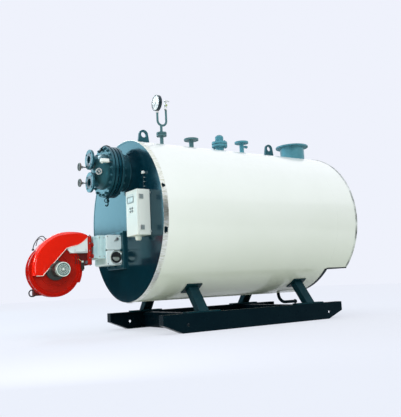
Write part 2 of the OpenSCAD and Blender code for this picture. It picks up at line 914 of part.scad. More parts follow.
module gauge_valve() {
    color([0.78, 0.66, 0.40]) at_plate()
        translate([gauge_x + fork_right, 0, fork_z + fork_right_h]) {
            cylinder(h = cock_h, d = cock_body_d, $fn = small_fn);
            translate([-lever_w / 2, -lever_w / 2, cock_h - lever_t])
                cube([lever_l, lever_w, 2 * lever_t]);
        }
}

vent_rise = 115;
vent_top = shell_r + vent_rise;

module vent_nozzle() {
    color([0.10, 0.34, 0.42]) at_plate() {
        pipe_up(vent_x, vent_top - small_flange_t, small_pipe_d, pipe_wall);
        flange_up(vent_x, vent_top - small_flange_t, small_flange_t, small_flange_d,
                  small_pipe_d - 2 * pipe_wall, small_pcd, pipe_bolts, bolt_hole_d);
    }
}

safety_rise = 60;
safety_flange_t = 23;
safety_gasket_t = 6;
safety_cap_h = 54;
safety_top = shell_r + safety_rise + 2 * safety_flange_t + safety_gasket_t;

module safety_valve() {
    color([0.12, 0.40, 0.48]) at_plate() {
        pipe_up(safety_x, shell_r + safety_rise, safety_pipe_d, pipe_wall);
        for (z = [shell_r + safety_rise, safety_top - safety_flange_t])
            upright(safety_x, z, z + safety_flange_t, safety_flange_d);
        upright(safety_x, shell_r + safety_rise + safety_flange_t,
                safety_top - safety_flange_t, safety_pipe_d);
        upright(safety_x, safety_top, safety_top + safety_cap_h, safety_pipe_d);
        translate([safety_x, 0, safety_top + safety_cap_h]) rotate([0, 90, 0])
            dome(safety_pipe_d / 2, safety_pipe_d / 4);
    }
}

feed_rise = 145;
feed_top = shell_r + feed_rise;

// A short branch with a cap stands out of the pipe's rear
branch_rise = 95;
branch_d = 20;
branch_len = 46;
branch_cap_d = 30;
branch_cap_len = 20;

module feed_nozzle() {
    color([0.10, 0.34, 0.42]) at_plate() {
        difference() {
            union() {
                pipe_up(feed_x, feed_top - small_flange_t, small_pipe_d, pipe_wall);
                translate([0, 0, shell_r + branch_rise]) {
                    bar_x(feed_x, feed_x + branch_len, branch_d);
                    bar_x(feed_x + branch_len, feed_x + branch_len + branch_cap_len, branch_cap_d);
                }
            }
            translate([feed_x, 0, 0])
                cylinder(h = feed_top, d = small_pipe_d - 2 * pipe_wall, $fn = small_fn);
        }
        flange_up(feed_x, feed_top - small_flange_t, small_flange_t, small_flange_d,
                  small_pipe_d - 2 * pipe_wall, small_pcd, pipe_bolts, bolt_hole_d);
    }
}

flue_rise = 155;
flue_top = shell_r + flue_rise;

module flue_stub() {
    color([0.12, 0.40, 0.48]) at_plate() {
        difference() {
            translate([drum_len + flue_back, 0, 0])
                cylinder(h = flue_top - flue_flange_t, d = flue_d, $fn = round_fn);
            translate([drum_len + flue_back, 0, -over])
                cylinder(h = flue_top + 2 * over, d = flue_d - 2 * flue_wall, $fn = round_fn);
            drum_space(sheet_in_r);
        }
        flange_up(drum_len + flue_back, flue_top - flue_flange_t, flue_flange_t,
                  flue_flange_d, flue_d - 2 * flue_wall, flue_pcd, flue_bolts, bolt_hole_d);
    }
}

// Each leg leans from the middle of its beam to the pad on the shell
foot_top = beam_top + pad_t;
leg_top_y = shell_r * sin(leg_angle);
leg_top_z = -shell_r * cos(leg_angle);
leg_lean = atan((beam_y - leg_top_y) / (leg_top_z - foot_top));
leg_reach = leg_top_z - foot_top + leg_l;

module leg(x, side) {
    scale([1, side, 1]) difference() {
        translate([x, beam_y, foot_top]) rotate([leg_lean, 0, 0])
            translate([-leg_l / 2, -leg_w / 2, -leg_l]) difference() {
                cube([leg_l, leg_w, leg_reach + leg_l]);
                translate([leg_t, -over, -over])
                    cube([leg_l - 2 * leg_t, leg_w - leg_t + over, leg_reach + leg_l + 2 * over]);
            }
        bar_x(x - leg_l, x + leg_l, shell_d + 2 * pad_t, round_fn);
        translate([x - leg_l, -shell_d, foot_top - shell_d])
            cube([2 * leg_l, 2 * shell_d, shell_d]);
    }
}

module legs() {
    color([0.05, 0.08, 0.12]) at_plate()
        for (x = [front_leg_x, rear_leg_x], side = [-1, 1]) leg(x, side);
}

// The rolled pads on the shell and the foot plates on the beams
module leg_plates() {
    color([0.05, 0.08, 0.12]) at_plate()
        for (x = [front_leg_x, rear_leg_x], side = [-1, 1]) {
            translate([x - pad_l / 2, 0, 0]) rotate([0, 90, 0])
                rotate([0, 0, side * leg_angle - pad_arc / 2])
                    rotate_extrude(angle = pad_arc, $fn = round_fn)
                        translate([shell_r, 0]) square([pad_t, pad_l]);
            translate([x - foot_l / 2, side * beam_y - beam_w / 2, beam_top])
                cube([foot_l, beam_w, pad_t]);
        }
}

// A beam's side outline, moved in by inset on every edge
nose_slope = nose_h / nose_run;
nose_stretch = sqrt(1 + nose_slope * nose_slope);
function beam_outline(inset) = [
    [inset, nose_h - inset * nose_slope + inset * nose_stretch],
    [nose_run + inset * (nose_stretch - 1) / nose_slope, inset],
    [beam_len - nose_run - inset * (nose_stretch - 1) / nose_slope, inset],
    [beam_len - inset, nose_h - inset * nose_slope + inset * nose_stretch],
    [beam_len - inset, beam_h - inset],
    [inset, beam_h - inset],
];

module skid_beam(side) {
    translate([beam_start, 0, -axis_h]) scale([1, side, 1]) difference() {
        translate([0, skid_w / 2, 0]) rotate([90, 0, 0])
            linear_extrude(beam_w) polygon(beam_outline(0));
        translate([0, skid_w / 2 - beam_t, 0]) rotate([90, 0, 0])
            linear_extrude(beam_w) polygon(beam_outline(beam_t));
        for (x = [tow_hole_in, beam_len - tow_hole_rear_in])
            translate([x, skid_w / 2 + over, tow_hole_up]) rotate([90, 0, 0])
                cylinder(h = beam_t + 2 * over, d = tow_hole_d, $fn = small_fn);
    }
}

module skid_beams() {
    color([0.05, 0.08, 0.12]) at_plate() for (side = [-1, 1]) skid_beam(side);
}

// Channels between the webs of the two beams, under the legs
cross_w = 80;
cross_half = skid_w / 2 - beam_t;

module cross_members() {
    color([0.05, 0.08, 0.12]) at_plate()
        for (x = [front_leg_x, rear_leg_x])
            translate([x - cross_w / 2, -cross_half, beam_t - axis_h]) difference() {
                cube([cross_w, 2 * cross_half, beam_h - 2 * beam_t]);
                translate([beam_t, -over, beam_t])
                    cube([cross_w, 2 * cross_half + 2 * over, beam_h - 4 * beam_t]);
            }
}

drain_fall = 102;
drain_bend = 95;
drain_run = 155;
drain_z = -shell_r - drain_fall;

module drain_pipe() {
    color([0.05, 0.08, 0.12]) at_plate() {
        difference() {
            translate([drain_x, 0, drain_z + drain_bend])
                cylinder(h = -drain_z - drain_bend - drum_r + lagging_t, d = drain_d, $fn = small_fn);
            drum_space(drum_r - drum_wall);
        }
        translate([drain_x + drain_bend, 0, drain_z + drain_bend]) rotate([90, 0, 0])
            rotate([0, 0, 180]) rotate_extrude(angle = 90, $fn = round_fn)
                translate([drain_bend, 0]) circle(d = drain_d, $fn = small_fn);
        translate([0, 0, drain_z])
            bar_x(drain_x + drain_bend, drain_x + drain_bend + drain_run, drain_d);
    }
}

front_plate();
shell_cladding();
pressure_drum();
drum_end();
front_trim();
smokebox_cladding();
smokebox_floor();
smokebox_rear_plate();
smokebox_cover();
rear_trim();
exchanger_shell();
exchanger_tube_sheet();
exchanger_channel();
exchanger_head();
water_outlet();
water_inlet();
thermometers();
head_eye();
flow_switch();
burner_frame();
burner_block();
burner_neck();
burner_collar();
burner_flange();
burner_body();
burner_scroll();
burner_hood();
burner_motor();
burner_side_panel();
burner_intake();
burner_switch();
control_box();
control_door();
plate_sensor();
lifting_lugs();
gauge_siphon();
pressure_gauge();
gauge_valve();
vent_nozzle();
safety_valve();
feed_nozzle();
flue_stub();
legs();
leg_plates();
skid_beams();
cross_members();
drain_pipe();
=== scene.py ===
# Packaged hot-water boiler: looks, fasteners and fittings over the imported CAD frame.
import json
import math

import bmesh
import bpy
from mathutils import Matrix, Vector


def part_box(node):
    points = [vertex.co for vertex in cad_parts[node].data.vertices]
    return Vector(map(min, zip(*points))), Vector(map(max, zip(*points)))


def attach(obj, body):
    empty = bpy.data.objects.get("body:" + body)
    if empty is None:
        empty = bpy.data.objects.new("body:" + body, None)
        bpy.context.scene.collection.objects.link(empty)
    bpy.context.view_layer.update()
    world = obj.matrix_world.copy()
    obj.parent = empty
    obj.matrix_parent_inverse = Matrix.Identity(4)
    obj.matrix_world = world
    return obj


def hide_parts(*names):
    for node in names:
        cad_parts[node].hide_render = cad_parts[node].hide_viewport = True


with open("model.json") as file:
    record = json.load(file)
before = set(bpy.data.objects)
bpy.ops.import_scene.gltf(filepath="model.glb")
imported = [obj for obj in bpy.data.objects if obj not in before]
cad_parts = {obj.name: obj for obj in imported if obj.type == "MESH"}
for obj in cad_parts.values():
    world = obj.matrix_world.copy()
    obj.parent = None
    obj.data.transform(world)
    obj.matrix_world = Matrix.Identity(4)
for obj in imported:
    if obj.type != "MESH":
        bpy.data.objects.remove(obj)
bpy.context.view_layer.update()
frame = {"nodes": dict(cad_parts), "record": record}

mm = 0.001

# Places are written in millimetres behind the front plate's face, to the far side
# of the drum's axis and above it, as in the part's source.
plateLow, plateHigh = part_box("front_plate")
plateX = plateLow.x
axisZ = (plateLow.z + plateHigh.z) / 2


def place(x, y, z):
    return Vector((plateX + x * mm, y * mm, axisZ + z * mm))


ground = -axisZ / mm

# camera and light
camera = {
    "stands": (-2289, -4805, -617),
    "yaw": 33.16,      # turned from straight across towards the rear
    "pitch": 7.58,
    "roll": -2.80,
    "lens": 49.13,
}
sceneCamera = bpy.data.objects.new("camera", bpy.data.cameras.new("camera"))
bpy.context.scene.collection.objects.link(sceneCamera)
bpy.context.scene.camera = sceneCamera
sceneCamera.data.lens = camera["lens"]
yaw, pitch, roll = (math.radians(camera[k]) for k in ("yaw", "pitch", "roll"))
ahead = Vector((math.sin(yaw) * math.cos(pitch), math.cos(yaw) * math.cos(pitch), math.sin(pitch)))
side = ahead.cross(Vector((0, 0, 1))).normalized()
above = side.cross(ahead)
turnedSide = math.cos(roll) * side + math.sin(roll) * above
turnedUp = math.cos(roll) * above - math.sin(roll) * side
sceneCamera.matrix_world = Matrix.Translation(place(*camera["stands"])) @ Matrix(
    (turnedSide, turnedUp, -ahead)).transposed().to_4x4()

scene = bpy.context.scene
scene.view_settings.view_transform = "Standard"

studio = {
    "backdrop": (0.863, 0.888, 0.973),
    "skyLight": (0.90, 0.96, 1.0),
    "skyStrength": 0.72,
    "floorBounce": (0.53, 0.57, 0.43),
    "floorShown": (0.76, 0.77, 0.84),
    "floorGlow": 0.6,      # the backdrop's share in what is seen of the floor
    "floorSize": 40.0,
    "wallColour": (0.012, 0.020, 0.022),
    "wallRadius": 6.5,
    "wallHeight": 1.5,
    "wallRise": 2.4,      # the wall is higher on the camera's side
}


def node(tree, kind, **settings):
    made = tree.nodes.new(kind)
    for key, value in settings.items():
        setattr(made, key, value)
    return made


def seenDirectly(tree):
    # 1 for what the camera, a reflection or a glass sees
    path = node(tree, "ShaderNodeLightPath")
    first = node(tree, "ShaderNodeMath", operation="MAXIMUM")
    second = node(tree, "ShaderNodeMath", operation="MAXIMUM")
    tree.links.new(path.outputs["Is Camera Ray"], first.inputs[0])
    tree.links.new(path.outputs["Is Glossy Ray"], first.inputs[1])
    tree.links.new(first.outputs[0], second.inputs[0])
    tree.links.new(path.outputs["Is Transmission Ray"], second.inputs[1])
    return second.outputs[0]


def buildWorld():
    world = bpy.data.worlds.new("studioAir")
    scene.world = world
    world.use_nodes = True
    tree = world.node_tree
    tree.nodes.clear()
    air = node(tree, "ShaderNodeBackground")
    air.inputs["Color"].default_value = (*studio["skyLight"], 1)
    air.inputs["Strength"].default_value = studio["skyStrength"]
    shown = node(tree, "ShaderNodeBackground")
    shown.inputs["Color"].default_value = (*studio["backdrop"], 1)
    mix = node(tree, "ShaderNodeMixShader")
    out = node(tree, "ShaderNodeOutputWorld")
    tree.links.new(seenDirectly(tree), mix.inputs[0])
    tree.links.new(air.outputs[0], mix.inputs[1])
    tree.links.new(shown.outputs[0], mix.inputs[2])
    tree.links.new(mix.outputs[0], out.inputs["Surface"])


def addObject(name, mesh):
    made = bpy.data.objects.new(name, mesh)
    scene.collection.objects.link(made)
    return made


def buildFloor():
    half = studio["floorSize"] / 2
    mesh = bpy.data.meshes.new("studioFloor")
    mesh.from_pydata([(-half, -half, 0), (half, -half, 0), (half, half, 0), (-half, half, 0)],
                     [], [(0, 1, 2, 3)])
    floor = addObject("studioFloor", mesh)
    paint = bpy.data.materials.new("studioFloor")
    paint.use_nodes = True
    tree = paint.node_tree
    tree.nodes.clear()
    shaded = node(tree, "ShaderNodeBsdfDiffuse")
    shaded.inputs["Color"].default_value = (*studio["floorShown"], 1)
    plain = node(tree, "ShaderNodeEmission")
    plain.inputs["Color"].default_value = (*studio["backdrop"], 1)
    shown = node(tree, "ShaderNodeMixShader")
    shown.inputs[0].default_value = studio["floorGlow"]
    tree.links.new(shaded.outputs[0], shown.inputs[1])
    tree.links.new(plain.outputs[0], shown.inputs[2])
    bounce = node(tree, "ShaderNodeBsdfDiffuse")
    bounce.inputs["Color"].default_value = (*studio["floorBounce"], 1)
    mix = node(tree, "ShaderNodeMixShader")
    out = node(tree, "ShaderNodeOutputMaterial")
    tree.links.new(seenDirectly(tree), mix.inputs[0])
    tree.links.new(bounce.outputs[0], mix.inputs[1])
    tree.links.new(shown.outputs[0], mix.inputs[2])
    tree.links.new(mix.outputs[0], out.inputs["Surface"])
    mesh.materials.append(paint)


def buildDarkWall():
    # a low dark wall all round, which only reflections see
    radius, height, steps = studio["wallRadius"], studio["wallHeight"], 48
    ring = [(radius * math.cos(math.tau * i / steps), radius * math.sin(math.tau * i / steps))
            for i in range(steps)]
    rise = [height + studio["wallRise"] * max(0.0, -y / radius) for x, y in ring]
    verts = [(x, y, 0) for x, y in ring] + [(x, y, z) for (x, y), z in zip(ring, rise)]
    faces = [(i, (i + 1) % steps, steps + (i + 1) % steps, steps + i) for i in range(steps)]
    mesh = bpy.data.meshes.new("studioWall")
    mesh.from_pydata(verts, [], faces)
    wall = addObject("studioWall", mesh)
    paint = bpy.data.materials.new("studioWall")
    paint.use_nodes = True
    tree = paint.node_tree
    tree.nodes.clear()
    dark = node(tree, "ShaderNodeEmission")
    dark.inputs["Color"].default_value = (*studio["wallColour"], 1)
    out = node(tree, "ShaderNodeOutputMaterial")
    tree.links.new(dark.outputs[0], out.inputs["Surface"])
    mesh.materials.append(paint)
    wall.visible_camera = wall.visible_diffuse = wall.visible_shadow = False
    wall.visible_transmission = False


lamps = [
    # name, kind, strength, size, colour, place and target in metres, and an area lamp's beam in degrees
    ("skyLamp", "SUN", 0.92, 1.2, (1.0, 1.0, 1.0), (-2.0, -5.0, 9.0), (0, 0, 0), 0),
    ("sideLamp", "SUN", 0.64, 1.4, (1.0, 1.0, 0.97), (-1.0, -6.0, 1.6), (0, 0, 0), 0),
    ("farSkyLamp", "SUN", 0.30, 1.5, (1.0, 1.0, 1.0), (3.0, 6.0, 6.0), (0, 0, 0), 0),
    ("frontScreen", "AREA", 150.0, (7.0, 2.6), (0.40, 0.86, 1.0), (-5.6, 7.6, 3.1), (-0.9, 0.0, 1.1), 180),
    ("headLamp", "AREA", 26.0, (1.4, 0.9), (0.80, 0.95, 1.0), (-1.5, 2.0, 3.4), (-0.9, 0.0, 1.5), 180),
    ("noseLamp", "AREA", 1.5, (0.5, 0.6), (1.0, 0.86, 0.70), (-3.5, -0.5, 1.55), (-1.5, 0.0, 0.72), 45),
    ("burnerLamp", "AREA", 8.0, (0.9, 0.7), (0.96, 0.98, 1.0), (-2.2, -2.3, 0.85), (-1.0, 0.0, 0.75), 180),
]


def buildLamps():
    for name, kind, strength, size, colour, stands, target, beam in lamps:
        lamp = bpy.data.lights.new(name, kind)
        lamp.energy = strength
        lamp.color = colour
        if kind == "SUN":
            lamp.angle = size
        else:
            lamp.shape = "RECTANGLE"
            lamp.size, lamp.size_y = size
            lamp.spread = math.radians(beam)
        holder = bpy.data.objects.new(name, lamp)
        scene.collection.objects.link(holder)
        holder.location = stands
        aim = Vector(target) - Vector(stands)
        holder.rotation_mode = "QUATERNION"
        holder.rotation_quaternion = aim.to_track_quat("-Z", "Y")
        holder.visible_camera = False


buildWorld()
buildFloor()
buildDarkWall()
buildLamps()
print("studio ready")


# shader groups
def newGroup(name, inputs, outputs):
    group = bpy.data.node_groups.new(name, "ShaderNodeTree")
    for socketName, kind, value in inputs:
        made = group.interface.new_socket(socketName, in_out="INPUT", socket_type=kind)
        if value is not None:
            made.default_value = value
    for socketName, kind in outputs:
        group.interface.new_socket(socketName, in_out="OUTPUT", socket_type=kind)
    return group, node(group, "NodeGroupInput"), node(group, "NodeGroupOutput")


def noiseNode(tree, vector, scale, detail=3.0, rough=0.5):
    # scale is a number or the socket that gives it
    made = node(tree, "ShaderNodeTexNoise")
    made.inputs["Detail"].default_value = detail
    made.inputs["Roughness"].default_value = rough
    tree.links.new(vector, made.inputs["Vector"])
    if isinstance(scale, (int, float)):
        made.inputs["Scale"].default_value = scale
    else:
        tree.links.new(scale, made.inputs["Scale"])
    return made.outputs["Fac"]


def remap(tree, value, low, high, toLow, toHigh):
    made = node(tree, "ShaderNodeMapRange")
    for key, item in (("From Min", low), ("From Max", high), ("To Min", toLow), ("To Max", toHigh)):
        if isinstance(item, (int, float)):
            made.inputs[key].default_value = item
        else:
            tree.links.new(item, made.inputs[key])
    tree.links.new(value, made.inputs["Value"])
    return made.outputs["Result"]


def math2(tree, operation, a, b=0.0):
    made = node(tree, "ShaderNodeMath", operation=operation)
    for i, item in enumerate((a, b)):
        if isinstance(item, (int, float)):
            made.inputs[i].default_value = item
        else:
            tree.links.new(item, made.inputs[i])
    return made.outputs[0]


def blend(tree, fac, a, b):
    made = node(tree, "ShaderNodeMix", data_type="RGBA")
    tree.links.new(fac, made.inputs[0])
    for i, item in ((6, a), (7, b)):
        if isinstance(item, tuple):
            made.inputs[i].default_value = (*item, 1)
        else:
            tree.links.new(item, made.inputs[i])
    return made.outputs[2]


def buildPaintCoat():
    # colour that wanders a little, orange peel, uneven gloss and chipped edges; on the rear band the dark
    # patches are a painted reflection
    group, ins, outs = newGroup("paintCoat", [
        ("Vector", "NodeSocketVector", None),
        ("Tint", "NodeSocketColor", (0.5, 0.5, 0.5, 1)),
        ("Aged And Reflection Tint", "NodeSocketColor", (0.4, 0.4, 0.4, 1)),
        ("Chip Tint", "NodeSocketColor", (0.3, 0.3, 0.3, 1)),
        ("Patch Scale", "NodeSocketFloat", 3.0),
        ("Patch Strength", "NodeSocketFloat", 0.5),
        ("Edge Wear", "NodeSocketFloat", 0.3),
        ("Gloss", "NodeSocketFloat", 0.3),
        ("Gloss Spread", "NodeSocketFloat", 0.1),
        ("Peel Scale", "NodeSocketFloat", 300.0),
        ("Peel Height", "NodeSocketFloat", 0.0002),
        ("Wave Scale", "NodeSocketFloat", 3.0),
        ("Wave Height", "NodeSocketFloat", 0.0),
    ], [("Color", "NodeSocketColor"), ("Roughness", "NodeSocketFloat"), ("Normal", "NodeSocketVector")])
    link = group.links.new
    patches = noiseNode(group, ins.outputs["Vector"], ins.outputs["Patch Scale"], 5.0, 0.6)
    patchMask = math2(group, "MULTIPLY", remap(group, patches, 0.38, 0.68, 0.0, 1.0),
                      ins.outputs["Patch Strength"])
    base = blend(group, patchMask, ins.outputs["Tint"], ins.outputs["Aged And Reflection Tint"])
    # the bevelled faces of a piece carry the attribute edgeMask
    edge = node(group, "ShaderNodeAttribute", attribute_name="edgeMask")
    chips = noiseNode(group, ins.outputs["Vector"], 90.0, 4.0, 0.7)
    chipMask = math2(group, "MULTIPLY", remap(group, chips, 0.45, 0.62, 0.0, 1.0), edge.outputs["Fac"])
    chipMask = math2(group, "MULTIPLY", chipMask, ins.outputs["Edge Wear"])
    link(blend(group, chipMask, base, ins.outputs["Chip Tint"]), outs.inputs["Color"])
    grains = noiseNode(group, ins.outputs["Vector"], 14.0, 3.0, 0.55)
    spread = math2(group, "MULTIPLY", math2(group, "SUBTRACT", grains, 0.5), ins.outputs["Gloss Spread"])
    gloss = math2(group, "ADD", ins.outputs["Gloss"], math2(group, "MULTIPLY", spread, 2.0))
    gloss = math2(group, "ADD", gloss, math2(group, "MULTIPLY", chipMask, 0.3))
    link(gloss, outs.inputs["Roughness"])
    peel = noiseNode(group, ins.outputs["Vector"], ins.outputs["Peel Scale"], 2.0, 0.5)
    wave = noiseNode(group, ins.outputs["Vector"], ins.outputs["Wave Scale"], 1.0, 0.4)
    height = math2(group, "ADD",
                   math2(group, "MULTIPLY", peel, ins.outputs["Peel Height"]),
                   math2(group, "MULTIPLY", wave, ins.outputs["Wave Height"]))
    bump = node(group, "ShaderNodeBump")
    bump.inputs["Strength"].default_value = 1.0
    bump.inputs["Distance"].default_value = 1.0
    link(height, bump.inputs["Height"])
    link(bump.outputs[0], outs.inputs["Normal"])
    return group


def buildSettledDust():
    # dust lies where the surface looks up, thicker in patches
    group, ins, outs = newGroup("settledDust", [
        ("Vector", "NodeSocketVector", None),
        ("Color", "NodeSocketColor", (0.5, 0.5, 0.5, 1)),
        ("Dust Tint", "NodeSocketColor", (0.45, 0.43, 0.38, 1)),
        ("Amount", "NodeSocketFloat", 0.2),
        ("Grain", "NodeSocketFloat", 25.0),
    ], [("Color", "NodeSocketColor"), ("Mask", "NodeSocketFloat")])
    surface = node(group, "ShaderNodeNewGeometry")
    split = node(group, "ShaderNodeSeparateXYZ")
    group.links.new(surface.outputs["Normal"], split.inputs[0])
    facing = remap(group, split.outputs["Z"], 0.35, 1.0, 0.0, 1.0)
    grains = noiseNode(group, ins.outputs["Vector"], ins.outputs["Grain"], 6.0, 0.65)
    mask = math2(group, "MULTIPLY", facing, remap(group, grains, 0.35, 0.7, 0.2, 1.0))
    mask = math2(group, "MULTIPLY", mask, ins.outputs["Amount"])
    group.links.new(blend(group, mask, ins.outputs["Color"], ins.outputs["Dust Tint"]),
                    outs.inputs["Color"])
    group.links.new(mask, outs.inputs["Mask"])
    return group


def buildBrushedSheet():
    # fine streaks along one axis, with cloudy roughness; on the front band the olive dark streaks are a
    # painted reflection
    group, ins, outs = newGroup("brushedSheet", [
        ("Vector", "NodeSocketVector", None),
        ("Stretch", "NodeSocketVector", (1.0, 30.0, 30.0)),
        ("Tint", "NodeSocketColor", (0.8, 0.8, 0.8, 1)),
        ("Dark Tint", "NodeSocketColor", (0.6, 0.6, 0.6, 1)),
        ("Gloss", "NodeSocketFloat", 0.15),
        ("Gloss Spread", "NodeSocketFloat", 0.1),
        ("Streak Height", "NodeSocketFloat", 0.00004),
        ("Wave Height", "NodeSocketFloat", 0.0),
    ], [("Color", "NodeSocketColor"), ("Roughness", "NodeSocketFloat"), ("Normal", "NodeSocketVector")])
    scaled = node(group, "ShaderNodeVectorMath", operation="MULTIPLY")
    group.links.new(ins.outputs["Vector"], scaled.inputs[0])
    group.links.new(ins.outputs["Stretch"], scaled.inputs[1])
    streaks = noiseNode(group, scaled.outputs[0], 20.0, 6.0, 0.7)
    clouds = noiseNode(group, ins.outputs["Vector"], 9.0, 3.0, 0.5)
    group.links.new(blend(group, remap(group, streaks, 0.35, 0.65, 0.0, 1.0),
                          ins.outputs["Dark Tint"], ins.outputs["Tint"]), outs.inputs["Color"])
    spread = math2(group, "MULTIPLY", remap(group, clouds, 0.3, 0.7, 0.0, 1.0), ins.outputs["Gloss Spread"])
    group.links.new(math2(group, "ADD", ins.outputs["Gloss"], spread), outs.inputs["Roughness"])
    wave = noiseNode(group, ins.outputs["Vector"], 12.0, 1.0, 0.4)
    height = math2(group, "ADD",
                   math2(group, "MULTIPLY", streaks, ins.outputs["Streak Height"]),
                   math2(group, "MULTIPLY", wave, ins.outputs["Wave Height"]))
    bump = node(group, "ShaderNodeBump")
    bump.inputs["Distance"].default_value = 1.0
    group.links.new(height, bump.inputs["Height"])
    group.links.new(bump.outputs[0], outs.inputs["Normal"])
    return group


paintCoat = buildPaintCoat()
settledDust = buildSettledDust()
brushedSheet = buildBrushedSheet()


# finishes
finish = {}


def newFinish(name, shader):
    made = bpy.data.materials.new(name)
    made.use_nodes = True
    tree = made.node_tree
    tree.nodes.clear()
    body = node(tree, "ShaderNodeBsdfPrincipled")
    for key, value in shader.items():
        body.inputs[key].default_value = value
    out = node(tree, "ShaderNodeOutputMaterial")
    tree.links.new(body.outputs[0], out.inputs["Surface"])
    coords = node(tree, "ShaderNodeTexCoord")
    return made, tree, body, coords.outputs["Object"]


def placeGroup(tree, group, vector, values):
    made = node(tree, "ShaderNodeGroup")
    made.node_tree = group
    tree.links.new(vector, made.inputs["Vector"])
    for key, value in values.items():
        made.inputs[key].default_value = (*value, 1) if key.endswith(("Tint", "Color")) else value
    return made


def paint(name, tint, agedAndReflectionTint, chipTint, gloss, dust=0.15, shader=None, patch=(3.0, 0.5),
          wear=0.3, spread=0.1, peel=(300.0, 0.0002), wave=(3.0, 0.0)):
    # patch, peel and wave give a scale and a strength
    made, tree, body, vector = newFinish(name, shader or {})
    coat = placeGroup(tree, paintCoat, vector, {
        "Tint": tint, "Aged And Reflection Tint": agedAndReflectionTint, "Chip Tint": chipTint, "Gloss": gloss, "Gloss Spread": spread,
        "Patch Scale": patch[0], "Patch Strength": patch[1], "Edge Wear": wear,
        "Peel Scale": peel[0], "Peel Height": peel[1], "Wave Scale": wave[0], "Wave Height": wave[1]})
    film = placeGroup(tree, settledDust, vector, {"Amount": dust})
    tree.links.new(coat.outputs["Color"], film.inputs["Color"])
    tree.links.new(film.outputs["Color"], body.inputs["Base Color"])
    duller = node(tree, "ShaderNodeMath", operation="MULTIPLY_ADD")
    duller.inputs[1].default_value = 0.5
    tree.links.new(film.outputs["Mask"], duller.inputs[0])
    tree.links.new(coat.outputs["Roughness"], duller.inputs[2])
    tree.links.new(duller.outputs[0], body.inputs["Roughness"])
    tree.links.new(coat.outputs["Normal"], body.inputs["Normal"])
    finish[name] = made


def metal(name, tint, darkTint, gloss, spread, stretch, wave=0.0, streak=0.00004):
    made, tree, body, vector = newFinish(name, {"Metallic": 1.0})
    sheet = placeGroup(tree, brushedSheet, vector, {
        "Tint": tint, "Dark Tint": darkTint, "Gloss": gloss, "Gloss Spread": spread,
        "Stretch": stretch, "Wave Height": wave, "Streak Height": streak})
    tree.links.new(sheet.outputs["Color"], body.inputs["Base Color"])
    tree.links.new(sheet.outputs["Roughness"], body.inputs["Roughness"])
    tree.links.new(sheet.outputs["Normal"], body.inputs["Normal"])
    finish[name] = made


glossyCoat = {"Coat Weight": 0.35, "Coat Roughness": 0.05, "Specular IOR Level": 0.35}
redCoat = {"Coat Weight": 1.0, "Coat Roughness": 0.07, "Specular IOR Level": 0.05}
redDull = {"Coat Weight": 0.2, "Coat Roughness": 0.10, "Specular IOR Level": 0.05}
softCoat = {"Coat Weight": 0.10, "Coat Roughness": 0.15, "Specular IOR Level": 0.3}
flatCoat = {"Specular IOR Level": 0.08, "Specular Tint": (0.4, 0.8, 1.0, 1.0)}
tealSheen = {"Specular IOR Level": 0.55, "Specular Tint": (0.12, 0.76, 1.0, 1.0)}
castSheen = {"Specular IOR Level": 1.0, "Specular Tint": (0.35, 0.85, 1.0, 1.0)}

# looks
paint("cream", (0.84, 0.86, 0.855), (0.78, 0.81, 0.785), (0.45, 0.42, 0.36), 0.22, dust=0.10,
      shader=glossyCoat, patch=(1.6, 0.35), peel=(420.0, 0.00004), wave=(2.6, 0.0012), spread=0.05)
paint("teal", (0.001, 0.022, 0.037), (0.001, 0.014, 0.025), (0.08, 0.13, 0.15), 0.15, dust=0.03,
      shader=tealSheen, patch=(4.0, 0.5), peel=(260.0, 0.00012), wear=0.35, spread=0.05)
paint("tealCast", (0.004, 0.042, 0.062), (0.002, 0.026, 0.040), (0.10, 0.15, 0.17), 0.33, dust=0.08,
      shader=castSheen, patch=(9.0, 0.6), peel=(150.0, 0.0006), wear=0.6, spread=0.12)
paint("black", (0.001, 0.007, 0.012), (0.002, 0.010, 0.015), (0.06, 0.06, 0.055), 0.30, dust=0.02,
      shader=flatCoat, patch=(5.0, 0.6), peel=(130.0, 0.0003), wear=0.5, spread=0.12)
paint("blue", (0.004, 0.050, 0.080), (0.012, 0.090, 0.160), (0.20, 0.24, 0.28), 0.30, shader=softCoat,
      patch=(8.0, 0.5), wear=0.5)
paint("red", (0.76, 0.013, 0.003), (0.64, 0.009, 0.003), (0.85, 0.30, 0.24), 0.20, dust=0.05,
      shader=redCoat, patch=(5.0, 0.3), peel=(300.0, 0.00006), wear=0.35, spread=0.06)
paint("redDeep", (0.46, 0.007, 0.002), (0.34, 0.005, 0.002), (0.80, 0.28, 0.22), 0.22, dust=0.01,
      shader=redDull, patch=(6.0, 0.4), peel=(300.0, 0.00006), wear=0.35, spread=0.08)
# the darker red of the cast flange; on the scroll's recess floor it also stands for painted shade in the
# recess
paint("redCast", (0.42, 0.012, 0.006), (0.24, 0.008, 0.005), (0.60, 0.25, 0.20), 0.32, dust=0.02,
      shader=redDull, patch=(10.0, 0.6), peel=(170.0, 0.0005), wear=0.4, spread=0.10)
paint("darkRed", (0.13, 0.006, 0.005), (0.060, 0.004, 0.004), (0.28, 0.12, 0.10), 0.38, dust=0.06,
      shader=softCoat, patch=(12.0, 0.7), peel=(140.0, 0.0008), wear=0.4)
paint("lightGrey", (0.72, 0.80, 0.79), (0.65, 0.73, 0.71), (0.45, 0.46, 0.45), 0.38, dust=0.10,
      shader=softCoat, patch=(6.0, 0.4), peel=(500.0, 0.00025), wear=0.25)
paint("casting", (0.55, 0.77, 0.83), (0.45, 0.65, 0.71), (0.72, 0.78, 0.80), 0.34, dust=0.05,
      shader=softCoat, patch=(14.0, 0.6), peel=(240.0, 0.0005), wear=0.6)
paint("motor", (0.024, 0.036, 0.035), (0.012, 0.020, 0.020), (0.30, 0.32, 0.30), 0.40, dust=0.12,
      shader=softCoat, patch=(12.0, 0.6), peel=(220.0, 0.0004), wear=0.5)
paint("rubber", (0.012, 0.013, 0.014), (0.020, 0.021, 0.022), (0.06, 0.06, 0.06), 0.48, dust=0.15,
      patch=(20.0, 0.5), peel=(500.0, 0.0002))
